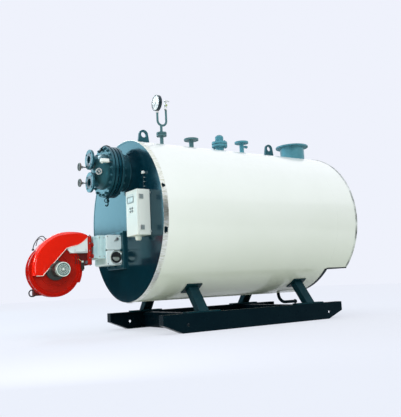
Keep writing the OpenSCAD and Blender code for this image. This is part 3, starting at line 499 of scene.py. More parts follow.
metal("steel", (0.62, 0.63, 0.62), (0.42, 0.43, 0.43), 0.28, 0.22, stretch=(12.0, 12.0, 12.0))
# the front band's olive dark streaks are a painted reflection of the cream sheet and the ground
metal("trim", (0.95, 0.97, 0.94), (0.56, 0.58, 0.44), 0.34, 0.12, stretch=(1.0, 5.0, 5.0), wave=0.0014,
      streak=0.00001)
paint("block", (0.76, 0.88, 0.94), (0.64, 0.78, 0.85), (0.86, 0.90, 0.92), 0.22, dust=0.04,
      shader={"Coat Weight": 0.3}, patch=(16.0, 0.5), peel=(60.0, 0.0006), wave=(16.0, 0.0012), wear=0.6,
      spread=0.10)
metal("brass", (0.72, 0.55, 0.27), (0.52, 0.38, 0.18), 0.26, 0.2, stretch=(10.0, 10.0, 10.0))
metal("drum", (0.30, 0.31, 0.33), (0.20, 0.20, 0.22), 0.42, 0.2, stretch=(10.0, 2.0, 10.0))
paint("dialWhite", (0.88, 0.89, 0.87), (0.82, 0.83, 0.80), (0.6, 0.6, 0.6), 0.45, dust=0.02,
      patch=(18.0, 0.5), peel=(400.0, 0.00001))
# a dark grey-brown dial card for the thermometers
paint("dialDark", (0.10, 0.085, 0.075), (0.06, 0.05, 0.045), (0.4, 0.4, 0.35), 0.5, dust=0.02,
      patch=(18.0, 0.5), peel=(400.0, 0.00001))
paint("ink", (0.012, 0.012, 0.014), (0.02, 0.02, 0.022), (0.05, 0.05, 0.05), 0.5, dust=0.0,
      patch=(30.0, 0.5), peel=(300.0, 0.00001))
paint("capGrey", (0.20, 0.31, 0.31), (0.12, 0.20, 0.20), (0.5, 0.55, 0.55), 0.34, dust=0.06,
      shader=softCoat, patch=(14.0, 0.5), peel=(300.0, 0.0002))
paint("capPale", (0.62, 0.72, 0.71), (0.52, 0.62, 0.61), (0.7, 0.75, 0.75), 0.34, dust=0.05,
      shader=softCoat, patch=(14.0, 0.5), peel=(300.0, 0.0002))
# the pale pink of the hood's rolled lower edge is a painted highlight
paint("bead", (0.86, 0.72, 0.68), (0.80, 0.60, 0.56), (0.6, 0.5, 0.48), 0.45, dust=0.0, patch=(12.0, 0.5),
      peel=(400.0, 0.0002))
paint("panelPale", (0.74, 0.80, 0.84), (0.66, 0.73, 0.77), (0.5, 0.52, 0.54), 0.30, dust=0.04,
      shader=softCoat, patch=(8.0, 0.5), peel=(400.0, 0.0002))
# a lighter copy of the teal paint for the crown's fittings: painted sunlight on their tops
paint("tealTopPaintedLight", (0.10, 0.29, 0.36), (0.06, 0.21, 0.27), (0.28, 0.40, 0.44), 0.30, dust=0.10,
      shader=tealSheen, patch=(12.0, 0.6), peel=(160.0, 0.0005), wear=0.5, spread=0.12)
# lighter than the rings they sit on: painted light on the exchanger's nuts
paint("nutBluePaintedLight", (0.022, 0.080, 0.105), (0.012, 0.050, 0.068), (0.20, 0.28, 0.30), 0.30, dust=0.10,
      shader=castSheen, patch=(16.0, 0.6), peel=(160.0, 0.0004), wear=0.5)
# a lighter, greyer copy of the teal paint for the vent and the siphon: painted sunlight on the crown
paint("pipeTealPaintedLight", (0.10, 0.18, 0.19), (0.06, 0.12, 0.13), (0.26, 0.34, 0.35), 0.32, dust=0.10,
      shader=tealSheen, patch=(14.0, 0.6), peel=(160.0, 0.0004), wear=0.5)
# a lighter copy of the teal paint: painted sunlight on the lifting lugs and a painted highlight on the
# exchanger's domed head
paint("tealLugPaintedLight", (0.028, 0.085, 0.105), (0.018, 0.060, 0.078), (0.16, 0.22, 0.24), 0.34, dust=0.10,
      shader=tealSheen, patch=(12.0, 0.6), peel=(160.0, 0.0005), wear=0.5)
paint("legPaint", (0.003, 0.028, 0.040), (0.002, 0.018, 0.026), (0.06, 0.08, 0.085), 0.32, dust=0.05,
      shader=flatCoat, patch=(6.0, 0.6), peel=(130.0, 0.0003), wear=0.5, spread=0.12)
paint("boxPale", (0.77, 0.81, 0.80), (0.71, 0.76, 0.75), (0.5, 0.52, 0.5), 0.32, dust=0.04, shader=softCoat,
      patch=(5.0, 0.3), peel=(520.0, 0.0002), wear=0.15)
paint("creamTrim", (0.80, 0.81, 0.77), (0.72, 0.73, 0.69), (0.5, 0.5, 0.46), 0.30, dust=0.08,
      shader=softCoat, patch=(8.0, 0.5), peel=(420.0, 0.0002))
paint("hingeGrey", (0.28, 0.34, 0.36), (0.22, 0.28, 0.30), (0.5, 0.5, 0.5), 0.40, dust=0.04,
      patch=(20.0, 0.5), peel=(500.0, 0.0002))
paint("screenPale", (0.70, 0.78, 0.80), (0.66, 0.74, 0.76), (0.6, 0.6, 0.6), 0.12, dust=0.0,
      shader=glossyCoat, patch=(20.0, 0.5), peel=(300.0, 0.00001))
paint("switchWhite", (0.90, 0.93, 0.94), (0.84, 0.88, 0.89), (0.6, 0.6, 0.6), 0.30, dust=0.02,
      shader=softCoat, patch=(20.0, 0.5), peel=(500.0, 0.0002))
paint("gaugeCase", (0.010, 0.028, 0.040), (0.006, 0.020, 0.030), (0.10, 0.12, 0.13), 0.28, dust=0.04,
      shader=softCoat, patch=(20.0, 0.5), peel=(400.0, 0.0002))
paint("bronze", (0.16, 0.12, 0.10), (0.10, 0.08, 0.07), (0.35, 0.30, 0.26), 0.34, dust=0.04,
      shader={"Metallic": 0.5}, patch=(24.0, 0.5), peel=(400.0, 0.0002))
metal("nickel", (0.86, 0.88, 0.84), (0.66, 0.68, 0.64), 0.24, 0.16, stretch=(14.0, 14.0, 14.0))
paint("limeCap", (0.30, 0.42, 0.05), (0.22, 0.32, 0.04), (0.3, 0.3, 0.2), 0.4, dust=0.0, patch=(30.0, 0.5))
# the rear band's near-black patches are a painted reflection of its polished metal
paint("rearBandPaintedReflection", (0.74, 0.77, 0.78), (0.03, 0.04, 0.04), (0.2, 0.2, 0.2), 0.30, dust=0.0,
      patch=(11.0, 1.0), peel=(300.0, 0.0001), wear=0.2)
# a lighter copy of the teal paint for the flue stub: painted sunlight on the crown
paint("flueTealPaintedLight", (0.120, 0.310, 0.385), (0.050, 0.160, 0.205), (0.20, 0.32, 0.36), 0.34, dust=0.06,
      shader=tealSheen, patch=(7.0, 0.7), peel=(160.0, 0.0005), wear=0.4, spread=0.10)
finish["glass"] = newFinish("gaugeGlass", {"Transmission Weight": 1.0, "Roughness": 0.06, "IOR": 1.15})[0]

cadFinish = {
    "teal_paint": "teal", "cream_sheet": "cream", "bare_steel": "drum", "polished_trim": "trim",
    "black_paint": "black", "blue_paint": "blue", "grey_casting": "casting", "red_gloss": "red",
    "dark_red": "darkRed", "light_grey": "lightGrey", "gauge_metal": "steel", "brass": "brass",
}
slotOf = {part["node"]: part["material_slot"] for part in frame["record"]["subparts"]}
for name, shown in frame["nodes"].items():
    shown.data.materials.clear()
    shown.data.materials.append(finish[cadFinish[slotOf[name]]])
print("finishes ready:", len(finish))


# mesh tools
# shapes are bmeshes in millimetres, turned into a piece in metres at the end
def turned(profile, closed=False, steps=96, arc=None):
    # a profile of (along, radius) points turned about the X axis; arc in degrees from the top
    bm = bmesh.new()
    low, high = arc or (0.0, 360.0)
    count = steps + 1 if arc else steps
    rows = []
    for along, radius in profile:
        if radius < 1e-6:
            rows.append([bm.verts.new((along, 0, 0))] * count)
            continue
        row = []
        for i in range(count):
            angle = math.radians(low + (high - low) * i / steps)
            row.append(bm.verts.new((along, radius * math.sin(angle), radius * math.cos(angle))))
        rows.append(row)
    pairs = list(zip(rows, rows[1:])) + ([(rows[-1], rows[0])] if closed else [])
    for first, second in pairs:
        for i in range(steps):
            j = i + 1 if arc else (i + 1) % steps
            corners = []
            for vert in (first[i], first[j], second[j], second[i]):
                if vert not in corners:
                    corners.append(vert)
            if len(corners) > 2:
                bm.faces.new(corners)
    if arc and closed:
        for k in (0, -1):
            bm.faces.new([row[k] for row in rows])
    bmesh.ops.recalc_face_normals(bm, faces=bm.faces)
    return bm


def edgeLayer(bm):
    return bm.faces.layers.float.get("edgeMask") or bm.faces.layers.float.new("edgeMask")


def softenEdges(bm, width, segments=2, angle=32):
    # rounds the sharp edges and marks the new faces for the paint's edge wear
    layer = edgeLayer(bm)
    bm.normal_update()
    sharp = [edge for edge in bm.edges if len(edge.link_faces) == 2
             and edge.calc_face_angle(0) > math.radians(angle)]
    if sharp:
        made = bmesh.ops.bevel(bm, geom=sharp, offset=width, segments=segments, profile=0.6,
                               affect="EDGES", clamp_overlap=True)
        for face in made["faces"]:
            face[layer] = 1.0
    return bm


def softBox(low, high, width=2.0, segments=2):
    bm = bmesh.new()
    bmesh.ops.create_cube(bm, size=1)
    for vert in bm.verts:
        for i in range(3):
            vert.co[i] = low[i] if vert.co[i] < 0 else high[i]
    return softenEdges(bm, width, segments) if width else bm


def softPrism(outline, low, high, width=2.0, segments=2):
    # an outline of (x, z) points, from y = low to y = high
    bm = bmesh.new()
    near = [bm.verts.new((x, low, z)) for x, z in outline]
    far = [bm.verts.new((x, high, z)) for x, z in outline]
    bm.faces.new(near)
    bm.faces.new(reversed(far))
    for i in range(len(outline)):
        j = (i + 1) % len(outline)
        bm.faces.new((near[i], near[j], far[j], far[i]))
    bmesh.ops.recalc_face_normals(bm, faces=bm.faces)
    return softenEdges(bm, width, segments) if width else bm


def tube(points, radius, steps=12):
    # a round bar along a smooth path through the points
    bm = bmesh.new()
    path = [Vector(p) for p in points]
    normal = None
    rows = []
    for i, at in enumerate(path):
        ahead = (path[min(i + 1, len(path) - 1)] - path[max(i - 1, 0)]).normalized()
        if normal is None:
            normal = ahead.orthogonal().normalized()
        normal = (normal - ahead * normal.dot(ahead)).normalized()
        across = ahead.cross(normal)
        rows.append([bm.verts.new(at + radius * (math.cos(math.tau * k / steps) * normal
                                                + math.sin(math.tau * k / steps) * across))
                     for k in range(steps)])
    for first, second in zip(rows, rows[1:]):
        for k in range(steps):
            j = (k + 1) % steps
            bm.faces.new((first[k], first[j], second[j], second[k]))
    bm.faces.new(rows[0])
    bm.faces.new(list(reversed(rows[-1])))
    bmesh.ops.recalc_face_normals(bm, faces=bm.faces)
    return bm


def smoothPath(points, parts=8, loop=False):
    # points on a soft curve through the given ones
    pts = [Vector(p) for p in points]
    count = len(pts)
    out = []
    for i in range(count if loop else count - 1):
        if loop:
            a, b, c, d = (pts[(i + k) % count] for k in (-1, 0, 1, 2))
        else:
            a, b, c, d = (pts[max(i - 1, 0)], pts[i], pts[i + 1], pts[min(i + 2, count - 1)])
        for k in range(parts):
            t = k / parts
            out.append(0.5 * ((2 * b) + (c - a) * t + (2 * a - 5 * b + 4 * c - d) * t ** 2
                              + (3 * b - a - 3 * c + d) * t ** 3))
    if not loop:
        out.append(pts[-1])
    return out


def moved(bm, to=(0, 0, 0), turn=(0, 0, 0)):
    # turn is in degrees about X, then Y, then Z
    turns = Matrix.Identity(4)
    for axis, angle in zip("XYZ", turn):
        turns = Matrix.Rotation(math.radians(angle), 4, axis) @ turns
    bm.transform(Matrix.Translation(to) @ turns)
    return bm


def joined(*shapes):
    whole = bmesh.new()
    edgeLayer(whole)
    for bm in shapes:
        edgeLayer(bm)
        mesh = bpy.data.meshes.new("part")
        bm.to_mesh(mesh)
        whole.from_mesh(mesh)
        bpy.data.meshes.remove(mesh)
        bm.free()
    return whole


def cadCopy(*nodes):
    # the CAD solids as one shape in millimetres, with their seams merged
    shapes = []
    for name in nodes:
        bm = bmesh.new()
        bm.from_mesh(frame["nodes"][name].data)
        bmesh.ops.remove_doubles(bm, verts=bm.verts, dist=1e-5)
        bm.transform(Matrix.Scale(1 / mm, 4) @ Matrix.Translation(-place(0, 0, 0)))
        bmesh.ops.dissolve_limit(bm, angle_limit=math.radians(0.6), verts=bm.verts, edges=bm.edges)
        shapes.append(bm)
    return joined(*shapes)


def drilled(bm, drills):
    # cuts round holes: each drill is a shape that is taken away
    tool = joined(*drills)
    objects = []
    for shape in (bm, tool):
        mesh = bpy.data.meshes.new("cut")
        bmesh.ops.recalc_face_normals(shape, faces=shape.faces)
        shape.to_mesh(mesh)
        objects.append(addObject("cut", mesh))
        shape.free()
    cut = objects[0].modifiers.new("cut", "BOOLEAN")
    cut.object = objects[1]
    cut.operation = "DIFFERENCE"
    cut.solver = "EXACT"
    result = bpy.data.meshes.new_from_object(
        objects[0].evaluated_get(bpy.context.evaluated_depsgraph_get()))
    whole = bmesh.new()
    whole.from_mesh(result)
    for made in objects:
        mesh = made.data
        bpy.data.objects.remove(made)
        bpy.data.meshes.remove(mesh)
    bpy.data.meshes.remove(result)
    return whole


def settleNormals(piece):
    # flat faces keep flat shading beside their rounded edges
    weigh = piece.modifiers.new("weigh", "WEIGHTED_NORMAL")
    weigh.keep_sharp = True
    weigh.weight = 90
    settled = bpy.data.meshes.new_from_object(
        piece.evaluated_get(bpy.context.evaluated_depsgraph_get()))
    piece.modifiers.remove(weigh)
    raw = piece.data
    piece.data = settled
    settled.name = piece.name
    bpy.data.meshes.remove(raw)


def makePiece(name, bm, look, replaces=(), angle=38):
    # a finished piece in metres, on the frame's only body
    mesh = bpy.data.meshes.new(name)
    bm.transform(Matrix.Translation(place(0, 0, 0)) @ Matrix.Scale(mm, 4))
    bmesh.ops.triangulate(bm, faces=[face for face in bm.faces if len(face.verts) > 4])
    bm.to_mesh(mesh)
    bm.free()
    mesh.shade_smooth()
    mesh.set_sharp_from_angle(angle=math.radians(angle))
    mesh.materials.clear()
    mesh.materials.append(finish[look])
    piece = addObject(name, mesh)
    settleNormals(piece)
    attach(piece, "root")
    if replaces:
        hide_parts(*replaces)
    return piece


def arcPoints(centre, radius, start, end, steps):
    return [(centre[0] + radius * math.cos(math.radians(start + (end - start) * i / steps)),
             centre[1] + radius * math.sin(math.radians(start + (end - start) * i / steps)))
            for i in range(steps + 1)]


def roundRect(x0, x1, z0, z1, radius):
    points = []
    for cx, cz, start in ((x1 - radius, z1 - radius, 0), (x0 + radius, z1 - radius, 90),
                          (x0 + radius, z0 + radius, 180), (x1 - radius, z0 + radius, 270)):
        points += arcPoints((cx, cz), radius, start, start + 90, 6)
    return points


# geometry trees
def newTree(name, inputs):
    tree = bpy.data.node_groups.new(name, "GeometryNodeTree")
    kinds = {float: "NodeSocketFloat", int: "NodeSocketInt"}
    tree.interface.new_socket("Geometry", in_out="INPUT", socket_type="NodeSocketGeometry")
    for socketName, value in inputs.items():
        made = tree.interface.new_socket(socketName, in_out="INPUT", socket_type=kinds[type(value)])
        made.default_value = value
    tree.interface.new_socket("Finish", in_out="INPUT", socket_type="NodeSocketMaterial")
    tree.interface.new_socket("Geometry", in_out="OUTPUT", socket_type="NodeSocketGeometry")
    return tree, node(tree, "NodeGroupInput"), node(tree, "NodeGroupOutput")


def feed(tree, made, **links):
    # joins sockets or writes values, by the socket's name with spaces left out
    for key, item in links.items():
        socket = next(s for s in made.inputs if s.name.replace(" ", "") == key and s.enabled)
        if isinstance(item, bpy.types.NodeSocket):
            tree.links.new(item, socket)
        else:
            socket.default_value = item
    return made


def vectorOf(tree, x=0.0, y=0.0, z=0.0):
    return feed(tree, node(tree, "ShaderNodeCombineXYZ"), X=x, Y=y, Z=z).outputs[0]


def shifted(tree, geometry, **parts):
    return feed(tree, node(tree, "GeometryNodeTransform"), Geometry=geometry, **parts).outputs[0]


def closeTree(tree, ins, outs, geometry):
    # every tree ends in plain mesh with its finish on
    real = feed(tree, node(tree, "GeometryNodeRealizeInstances"), Geometry=geometry)
    coated = feed(tree, node(tree, "GeometryNodeSetMaterial"), Geometry=real.outputs[0],
                  Material=ins.outputs["Finish"])
    tree.links.new(coated.outputs[0], outs.inputs[0])
    return tree


def times(tree, value, factor):
    return math2(tree, "MULTIPLY", value, factor)


def column(tree, sides, radius, depth, base=0.0):
    # an upright cylinder that stands on the base height
    made = feed(tree, node(tree, "GeometryNodeMeshCylinder"), Vertices=sides, Radius=radius, Depth=depth)
    middle = math2(tree, "ADD", base, times(tree, depth, 0.5))
    return shifted(tree, made.outputs["Mesh"], Translation=vectorOf(tree, z=middle))


def barOf(tree, ins, *sides):
    # a box whose three sides are inputs of the tree
    size = vectorOf(tree, *(ins.outputs[side] for side in sides))
    return feed(tree, node(tree, "GeometryNodeMeshCube"), Size=size).outputs["Mesh"]


def ballOf(tree, segments, rings, width, height):
    made = feed(tree, node(tree, "GeometryNodeMeshUVSphere"), Segments=segments, Rings=rings, Radius=0.5)
    return shifted(tree, made.outputs[0], Scale=vectorOf(tree, width, width, height))


def ringPoints(tree, ins, radius):
    return feed(tree, node(tree, "GeometryNodeMeshCircle"), Vertices=ins.outputs["Count"],
                Radius=radius).outputs[0]


def linePoints(tree, ins, **along):
    return feed(tree, node(tree, "GeometryNodeMeshLine"), Count=ins.outputs["Count"],
                Offset=vectorOf(tree, **along)).outputs[0]


def repeated(tree, points, shape, rotation):
    return feed(tree, node(tree, "GeometryNodeInstanceOnPoints"), Points=points, Instance=shape,
                Rotation=rotation).outputs[0]


def randomSpin(tree, ins):
    # up to a sixth of a turn about Z for each copy
    spin = feed(tree, node(tree, "FunctionNodeRandomValue"), Min=0.0, Max=1.05, Seed=ins.outputs["Seed"])
    return vectorOf(tree, z=spin.outputs[1])


def outwardTurn(tree, axis):
    # turns a copy's axis away from the ring's middle
    turn = feed(tree, node(tree, "FunctionNodeAlignRotationToVector"),
                Vector=node(tree, "GeometryNodeInputPosition").outputs[0])
    turn.axis = axis
    return turn.outputs[0]


def phased(tree, ins, geometry):
    return shifted(tree, geometry, Rotation=vectorOf(tree, z=ins.outputs["Phase"]))


def hexFastener(tree, ins):
    # a chamfered hexagon on a washer, with the end of its stud, standing on z = 0
    washerHeight, headWidth = ins.outputs["Washer Height"], ins.outputs["Head Width"]
    radius = times(tree, headWidth, 0.5)
    body = times(tree, ins.outputs["Head Height"], 0.8)
    crown = feed(tree, node(tree, "GeometryNodeMeshCone"), Vertices=6,
                 RadiusTop=times(tree, radius, 0.8), RadiusBottom=radius,
                 Depth=times(tree, ins.outputs["Head Height"], 0.2))
    parts = (
        column(tree, 16, times(tree, headWidth, 0.6), washerHeight),
        column(tree, 6, radius, body, washerHeight),
        shifted(tree, crown.outputs["Mesh"],
                Translation=vectorOf(tree, z=math2(tree, "ADD", washerHeight, body))),
        column(tree, 12, times(tree, ins.outputs["Stud Width"], 0.5), ins.outputs["Stud Height"]),
    )
    whole = node(tree, "GeometryNodeJoinGeometry")
    for part in parts:
        tree.links.new(part, whole.inputs[0])
    return whole.outputs[0]


def buildBoltRing():
    tree, ins, outs = newTree("boltRing", {
        "Count": 8, "Ring Width": 200.0, "Head Width": 24.0, "Head Height": 10.0,
        "Washer Height": 2.5, "Stud Width": 14.0, "Stud Height": 18.0, "Phase": 0.0, "Seed": 3})
    points = ringPoints(tree, ins, times(tree, ins.outputs["Ring Width"], 0.5))
    placed = repeated(tree, points, hexFastener(tree, ins), randomSpin(tree, ins))
    return closeTree(tree, ins, outs, phased(tree, ins, placed))


def buildBoltRow():
    # a row of the same fasteners along X
    tree, ins, outs = newTree("boltRow", {
        "Count": 4, "Pitch": 50.0, "Head Width": 24.0, "Head Height": 10.0,
        "Washer Height": 2.5, "Stud Width": 14.0, "Stud Height": 18.0, "Seed": 5})
    points = linePoints(tree, ins, x=ins.outputs["Pitch"])
    return closeTree(tree, ins, outs,
                     repeated(tree, points, hexFastener(tree, ins), randomSpin(tree, ins)))


def buildRivetBand():
    # low domed heads round a cylinder, facing outwards
    tree, ins, outs = newTree("rivetBand", {
        "Count": 24, "Ring Width": 1500.0, "Head Width": 9.0, "Head Height": 2.0, "Phase": 0.0})
    points = ringPoints(tree, ins, times(tree, ins.outputs["Ring Width"], 0.5))
    head = ballOf(tree, 10, 6, ins.outputs["Head Width"], times(tree, ins.outputs["Head Height"], 2.0))
    placed = repeated(tree, points, head, outwardTurn(tree, "Z"))
    return closeTree(tree, ins, outs, phased(tree, ins, placed))


def buildRadialBars():
    # bars round an axis, such as a motor's fins or a guard's slats
    tree, ins, outs = newTree("radialBars", {
        "Count": 24, "Middle Radius": 55.0, "Bar Depth": 8.0, "Bar Width": 2.5, "Bar Length": 100.0,
        "Phase": 0.0})
    points = ringPoints(tree, ins, ins.outputs["Middle Radius"])
    bar = barOf(tree, ins, "Bar Depth", "Bar Width", "Bar Length")
    placed = repeated(tree, points, bar, outwardTurn(tree, "X"))
    return closeTree(tree, ins, outs, phased(tree, ins, placed))


def buildWeldRun():
    # overlapping ripples along a path
    tree, ins, outs = newTree("weldRun", {"Bead Width": 7.0, "Ripple Pitch": 3.0})
    path = feed(tree, node(tree, "GeometryNodeMeshToCurve"), Mesh=ins.outputs[0])
    spots = node(tree, "GeometryNodeCurveToPoints", mode="LENGTH")
    feed(tree, spots, Curve=path.outputs[0], Length=ins.outputs["Ripple Pitch"])
    ripple = ballOf(tree, 8, 4, ins.outputs["Bead Width"], times(tree, ins.outputs["Ripple Pitch"], 1.8))
    return closeTree(tree, ins, outs,
                     repeated(tree, spots.outputs[0], ripple, spots.outputs["Rotation"]))


def buildSlatStack():
    # short slats one above the other, for vents
    tree, ins, outs = newTree("slatStack", {
        "Count": 6, "Pitch": 9.0, "Slat Length": 60.0, "Slat Width": 5.0, "Slat Height": 3.0,
        "Tilt": 0.5})
    points = linePoints(tree, ins, z=ins.outputs["Pitch"])
    slat = barOf(tree, ins, "Slat Length", "Slat Width", "Slat Height")
    return closeTree(tree, ins, outs,
                     repeated(tree, points, slat, vectorOf(tree, x=ins.outputs["Tilt"])))


def buildDialTicks():
    # strokes along an arc of a dial, lying in the XY plane
    tree, ins, outs = newTree("dialTicks", {
        "Count": 11, "Start": -0.785, "Sweep": 4.712, "Reach": 60.0, "Stroke": 8.0,
        "Stroke Width": 1.6, "Thickness": 0.6})
    points = feed(tree, node(tree, "GeometryNodePoints"), Count=ins.outputs["Count"])
    share = math2(tree, "DIVIDE", node(tree, "GeometryNodeInputIndex").outputs[0],
                  math2(tree, "SUBTRACT", ins.outputs["Count"], 1))
    angle = math2(tree, "ADD", ins.outputs["Start"], math2(tree, "MULTIPLY", share, ins.outputs["Sweep"]))
    middle = math2(tree, "SUBTRACT", ins.outputs["Reach"], times(tree, ins.outputs["Stroke"], 0.5))
    cosine = math2(tree, "MULTIPLY", math2(tree, "COSINE", angle), middle)
    sine = math2(tree, "MULTIPLY", math2(tree, "SINE", angle), middle)
    spots = feed(tree, node(tree, "GeometryNodeSetPosition"), Geometry=points.outputs[0],
                 Position=vectorOf(tree, cosine, sine))
    stroke = barOf(tree, ins, "Stroke", "Stroke Width", "Thickness")
    return closeTree(tree, ins, outs,
                     repeated(tree, spots.outputs[0], stroke, vectorOf(tree, z=angle)))


boltRing = buildBoltRing()
boltRow = buildBoltRow()
rivetBand = buildRivetBand()
radialBars = buildRadialBars()
weldRun = buildWeldRun()
slatStack = buildSlatStack()
dialTicks = buildDialTicks()


def grown(tree, look, values=None, path=None, loop=False):
    # runs a tree once and gives its result as a shape; a path is a list of points
    mesh = bpy.data.meshes.new("seed")
    if path:
        edges = [(i, i + 1) for i in range(len(path) - 1)]
        mesh.from_pydata([tuple(p) for p in path], edges + ([(len(path) - 1, 0)] if loop else []), [])
    holder = addObject("grower", mesh)
    modifier = holder.modifiers.new("grow", "NODES")
    modifier.node_group = tree
    for item in tree.interface.items_tree:
        if item.in_out == "INPUT" and item.name in (values or {}):
            modifier[item.identifier] = values[item.name]
        if item.in_out == "INPUT" and item.name == "Finish":
            modifier[item.identifier] = finish[look]
    result = bpy.data.meshes.new_from_object(
        holder.evaluated_get(bpy.context.evaluated_depsgraph_get()))
    holder.modifiers.remove(modifier)
    bm = bmesh.new()
    bm.from_mesh(result)
    bpy.data.objects.remove(holder)
    bpy.data.meshes.remove(mesh)
    bpy.data.meshes.remove(result)
    return bm


alongX = (0, 90, 0)      # turns a shape's Z axis to the rear
towardFront = (0, -90, 0)
towardNear = (90, 0, 0)  # turns a shape's Z axis to the camera's side
towardFar = (-90, 0, 0)


def uprightTurned(profile, x, y, **more):
    # a profile of (height, radius) turned about the vertical through x, y
    return moved(turned(profile, **more), (x, y, 0), (0, -90, 0))


def acrossTurned(profile, x, z, **more):
    # a profile of (far, radius) turned about the crosswise axis through x, z
    return moved(turned(profile, **more), (x, 0, z), (0, 0, 90))


def circlePath(centre, radius, steps):
    # a circle round a line along X
    return [(centre[0], centre[1] + radius * math.cos(math.tau * i / steps),
             centre[2] + radius * math.sin(math.tau * i / steps)) for i in range(steps)]


print("tools ready")


# places of the CAD nodes
def span(name):
    # a node's lowest and highest corner in the part's millimetres
    low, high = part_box(name)
    start = place(0, 0, 0)
    return (low - start) / mm, (high - start) / mm


def softened(name, look, width=2.0, segments=2):
    # the CAD solid itself with its edges rounded
    return makePiece(name + "Soft", softenEdges(cadCopy(name), width, segments), look, replaces=(name,))


def ringBar(inner, outer, low, high):
    # a closed profile for turned(), with softened corners
    soft = min(1.2, (outer - inner) / 4, (high - low) / 4)
    return [(low, inner + soft), (low, outer - soft), (low + soft, outer), (high - soft, outer),
            (high, outer - soft), (high, inner + soft), (high - soft, inner), (low + soft, inner)]


def knob(height, radius, soft=1.5, base=0.0):
    # an open-topped profile from the axis out and down, for a round boss
    return [(height, 0.0), (height, radius - soft), (height - soft * 0.3, radius - soft * 0.3),
            (height - soft, radius), (base, radius), (base, 0.0)]


def slottedScrew(radius, height):
    # a cheese-head screw standing on z = 0
    head = moved(turned(knob(height, radius, 1.0), steps=20), turn=(0, -90, 0))
    return drilled(head, [softBox((-radius * 1.2, -radius * 0.13, height * 0.55),
                                  (radius * 1.2, radius * 0.13, height * 1.5), 0)])


# burner block, neck, collar and flange
block = {"seam": 4, "round": 18, "edge": 3.5, "latch": (-66, -163), "port": (-74, -332),
         "portRadius": 62, "portDepth": 26}


def buildBlock():
    low, high = span("burner_block")
    middle = (low.z + high.z) / 2
    rim = block["portRadius"]
    x, z = block["port"]
    upper = softPrism(roundRect(low.x, high.x, middle + block["seam"] / 2, high.z, block["round"]),
                      low.y, high.y, block["edge"], 3)
    lower = softPrism(roundRect(low.x, high.x, low.z, middle - block["seam"] / 2, block["round"]),
                      low.y, high.y, block["edge"], 3)
    well = acrossTurned([(low.y - 5, 0.0), (low.y - 5, rim), (low.y + 4, rim - 2),
                         (low.y + block["portDepth"] * 0.8, rim * 0.62),
                         (low.y + block["portDepth"], 0.0)], x, z, steps=64)
    makePiece("blockUpper", upper, "block")
    makePiece("blockLower", drilled(lower, [well]), "block")
    inset = 10
    makePiece("blockCore", softBox((low.x + inset, low.y + inset, low.z + inset),
                                   (high.x - 1, high.y - inset, high.z - inset), 1), "rubber",
              replaces=("burner_block",))
    ring = acrossTurned(ringBar(rim - 3, rim + 5, low.y - 4, low.y + 3), x, z, closed=True, steps=64)
    flap = moved(turned(knob(3, rim * 0.5, 1.0, -3), steps=40), (x - 6, low.y + 6, z - 8), (0, 35, 90))
    makePiece("blockPort", joined(ring, flap), "trim")
    latchX, latchZ = block["latch"]
    plate = acrossTurned([(low.y - 5, 0.0), (low.y - 5, 13.0), (low.y - 4, 15.0), (low.y + 1, 16.0),
                          (low.y + 1, 0.0)], latchX, latchZ, steps=32)
    arm = moved(softBox((-38, -7, -5), (8, -2, 5), 2), (latchX, low.y, latchZ), (0, -32, 0))
    makePiece("blockLatch", joined(plate, arm), "steel")
    makePiece("blockScrews", joined(
        moved(slottedScrew(7, 5), (latchX, low.y - 5, latchZ), towardNear),
        *[moved(slottedScrew(5, 3.5), (px, low.y, pz), towardNear)
          for px in (low.x + 14, high.x - 14) for pz in (high.z - 14, low.z + 14)]),
        "drum")


frameBolt = {"Count": 3, "Pitch": 150.0, "Head Width": 22.0, "Head Height": 12.0, "Washer Height": 3.0,
             "Stud Width": 12.0, "Stud Height": 21.0}


def buildBurnerFrame():
    softened("burner_frame", "tealCast", 2.5)
    low, high = span("burner_frame")
    edge = 24
    first = Vector((low.x, low.y + edge, low.z + edge))
    rows = []
    for y in (low.y + edge, high.y - edge):
        rows.append(moved(grown(boltRow, "steel", frameBolt), (low.x, y, first.z), towardFront))
    for z in (low.z + edge, high.z - edge):
        single = {**frameBolt, "Count": 1, "Seed": int(abs(z))}
        rows.append(moved(grown(boltRow, "steel", single), (low.x, (low.y + high.y) / 2, z), towardFront))
    makePiece("burnerFrameBolts", joined(*rows), "tealCast")


def buildNeck():
    softened("burner_neck", "casting", 7, 3)
    softened("burner_collar", "casting", 2.0)
    low, high = span("burner_neck")
    screws = [moved(slottedScrew(6, 4), (x, low.y, z), towardNear)
              for x in (low.x + 16, high.x - 16) for z in (low.z + 22, high.z - 22)]
    rib = softBox((low.x + 26, low.y - 4, low.z + 30), (high.x - 26, low.y + 2, high.z - 30), 2)
    makePiece("neckScrews", joined(*screws), "steel")
    makePiece("neckCover", rib, "casting")


hinge = {"radius": 11, "knuckles": 4, "gap": 4, "out": 3}


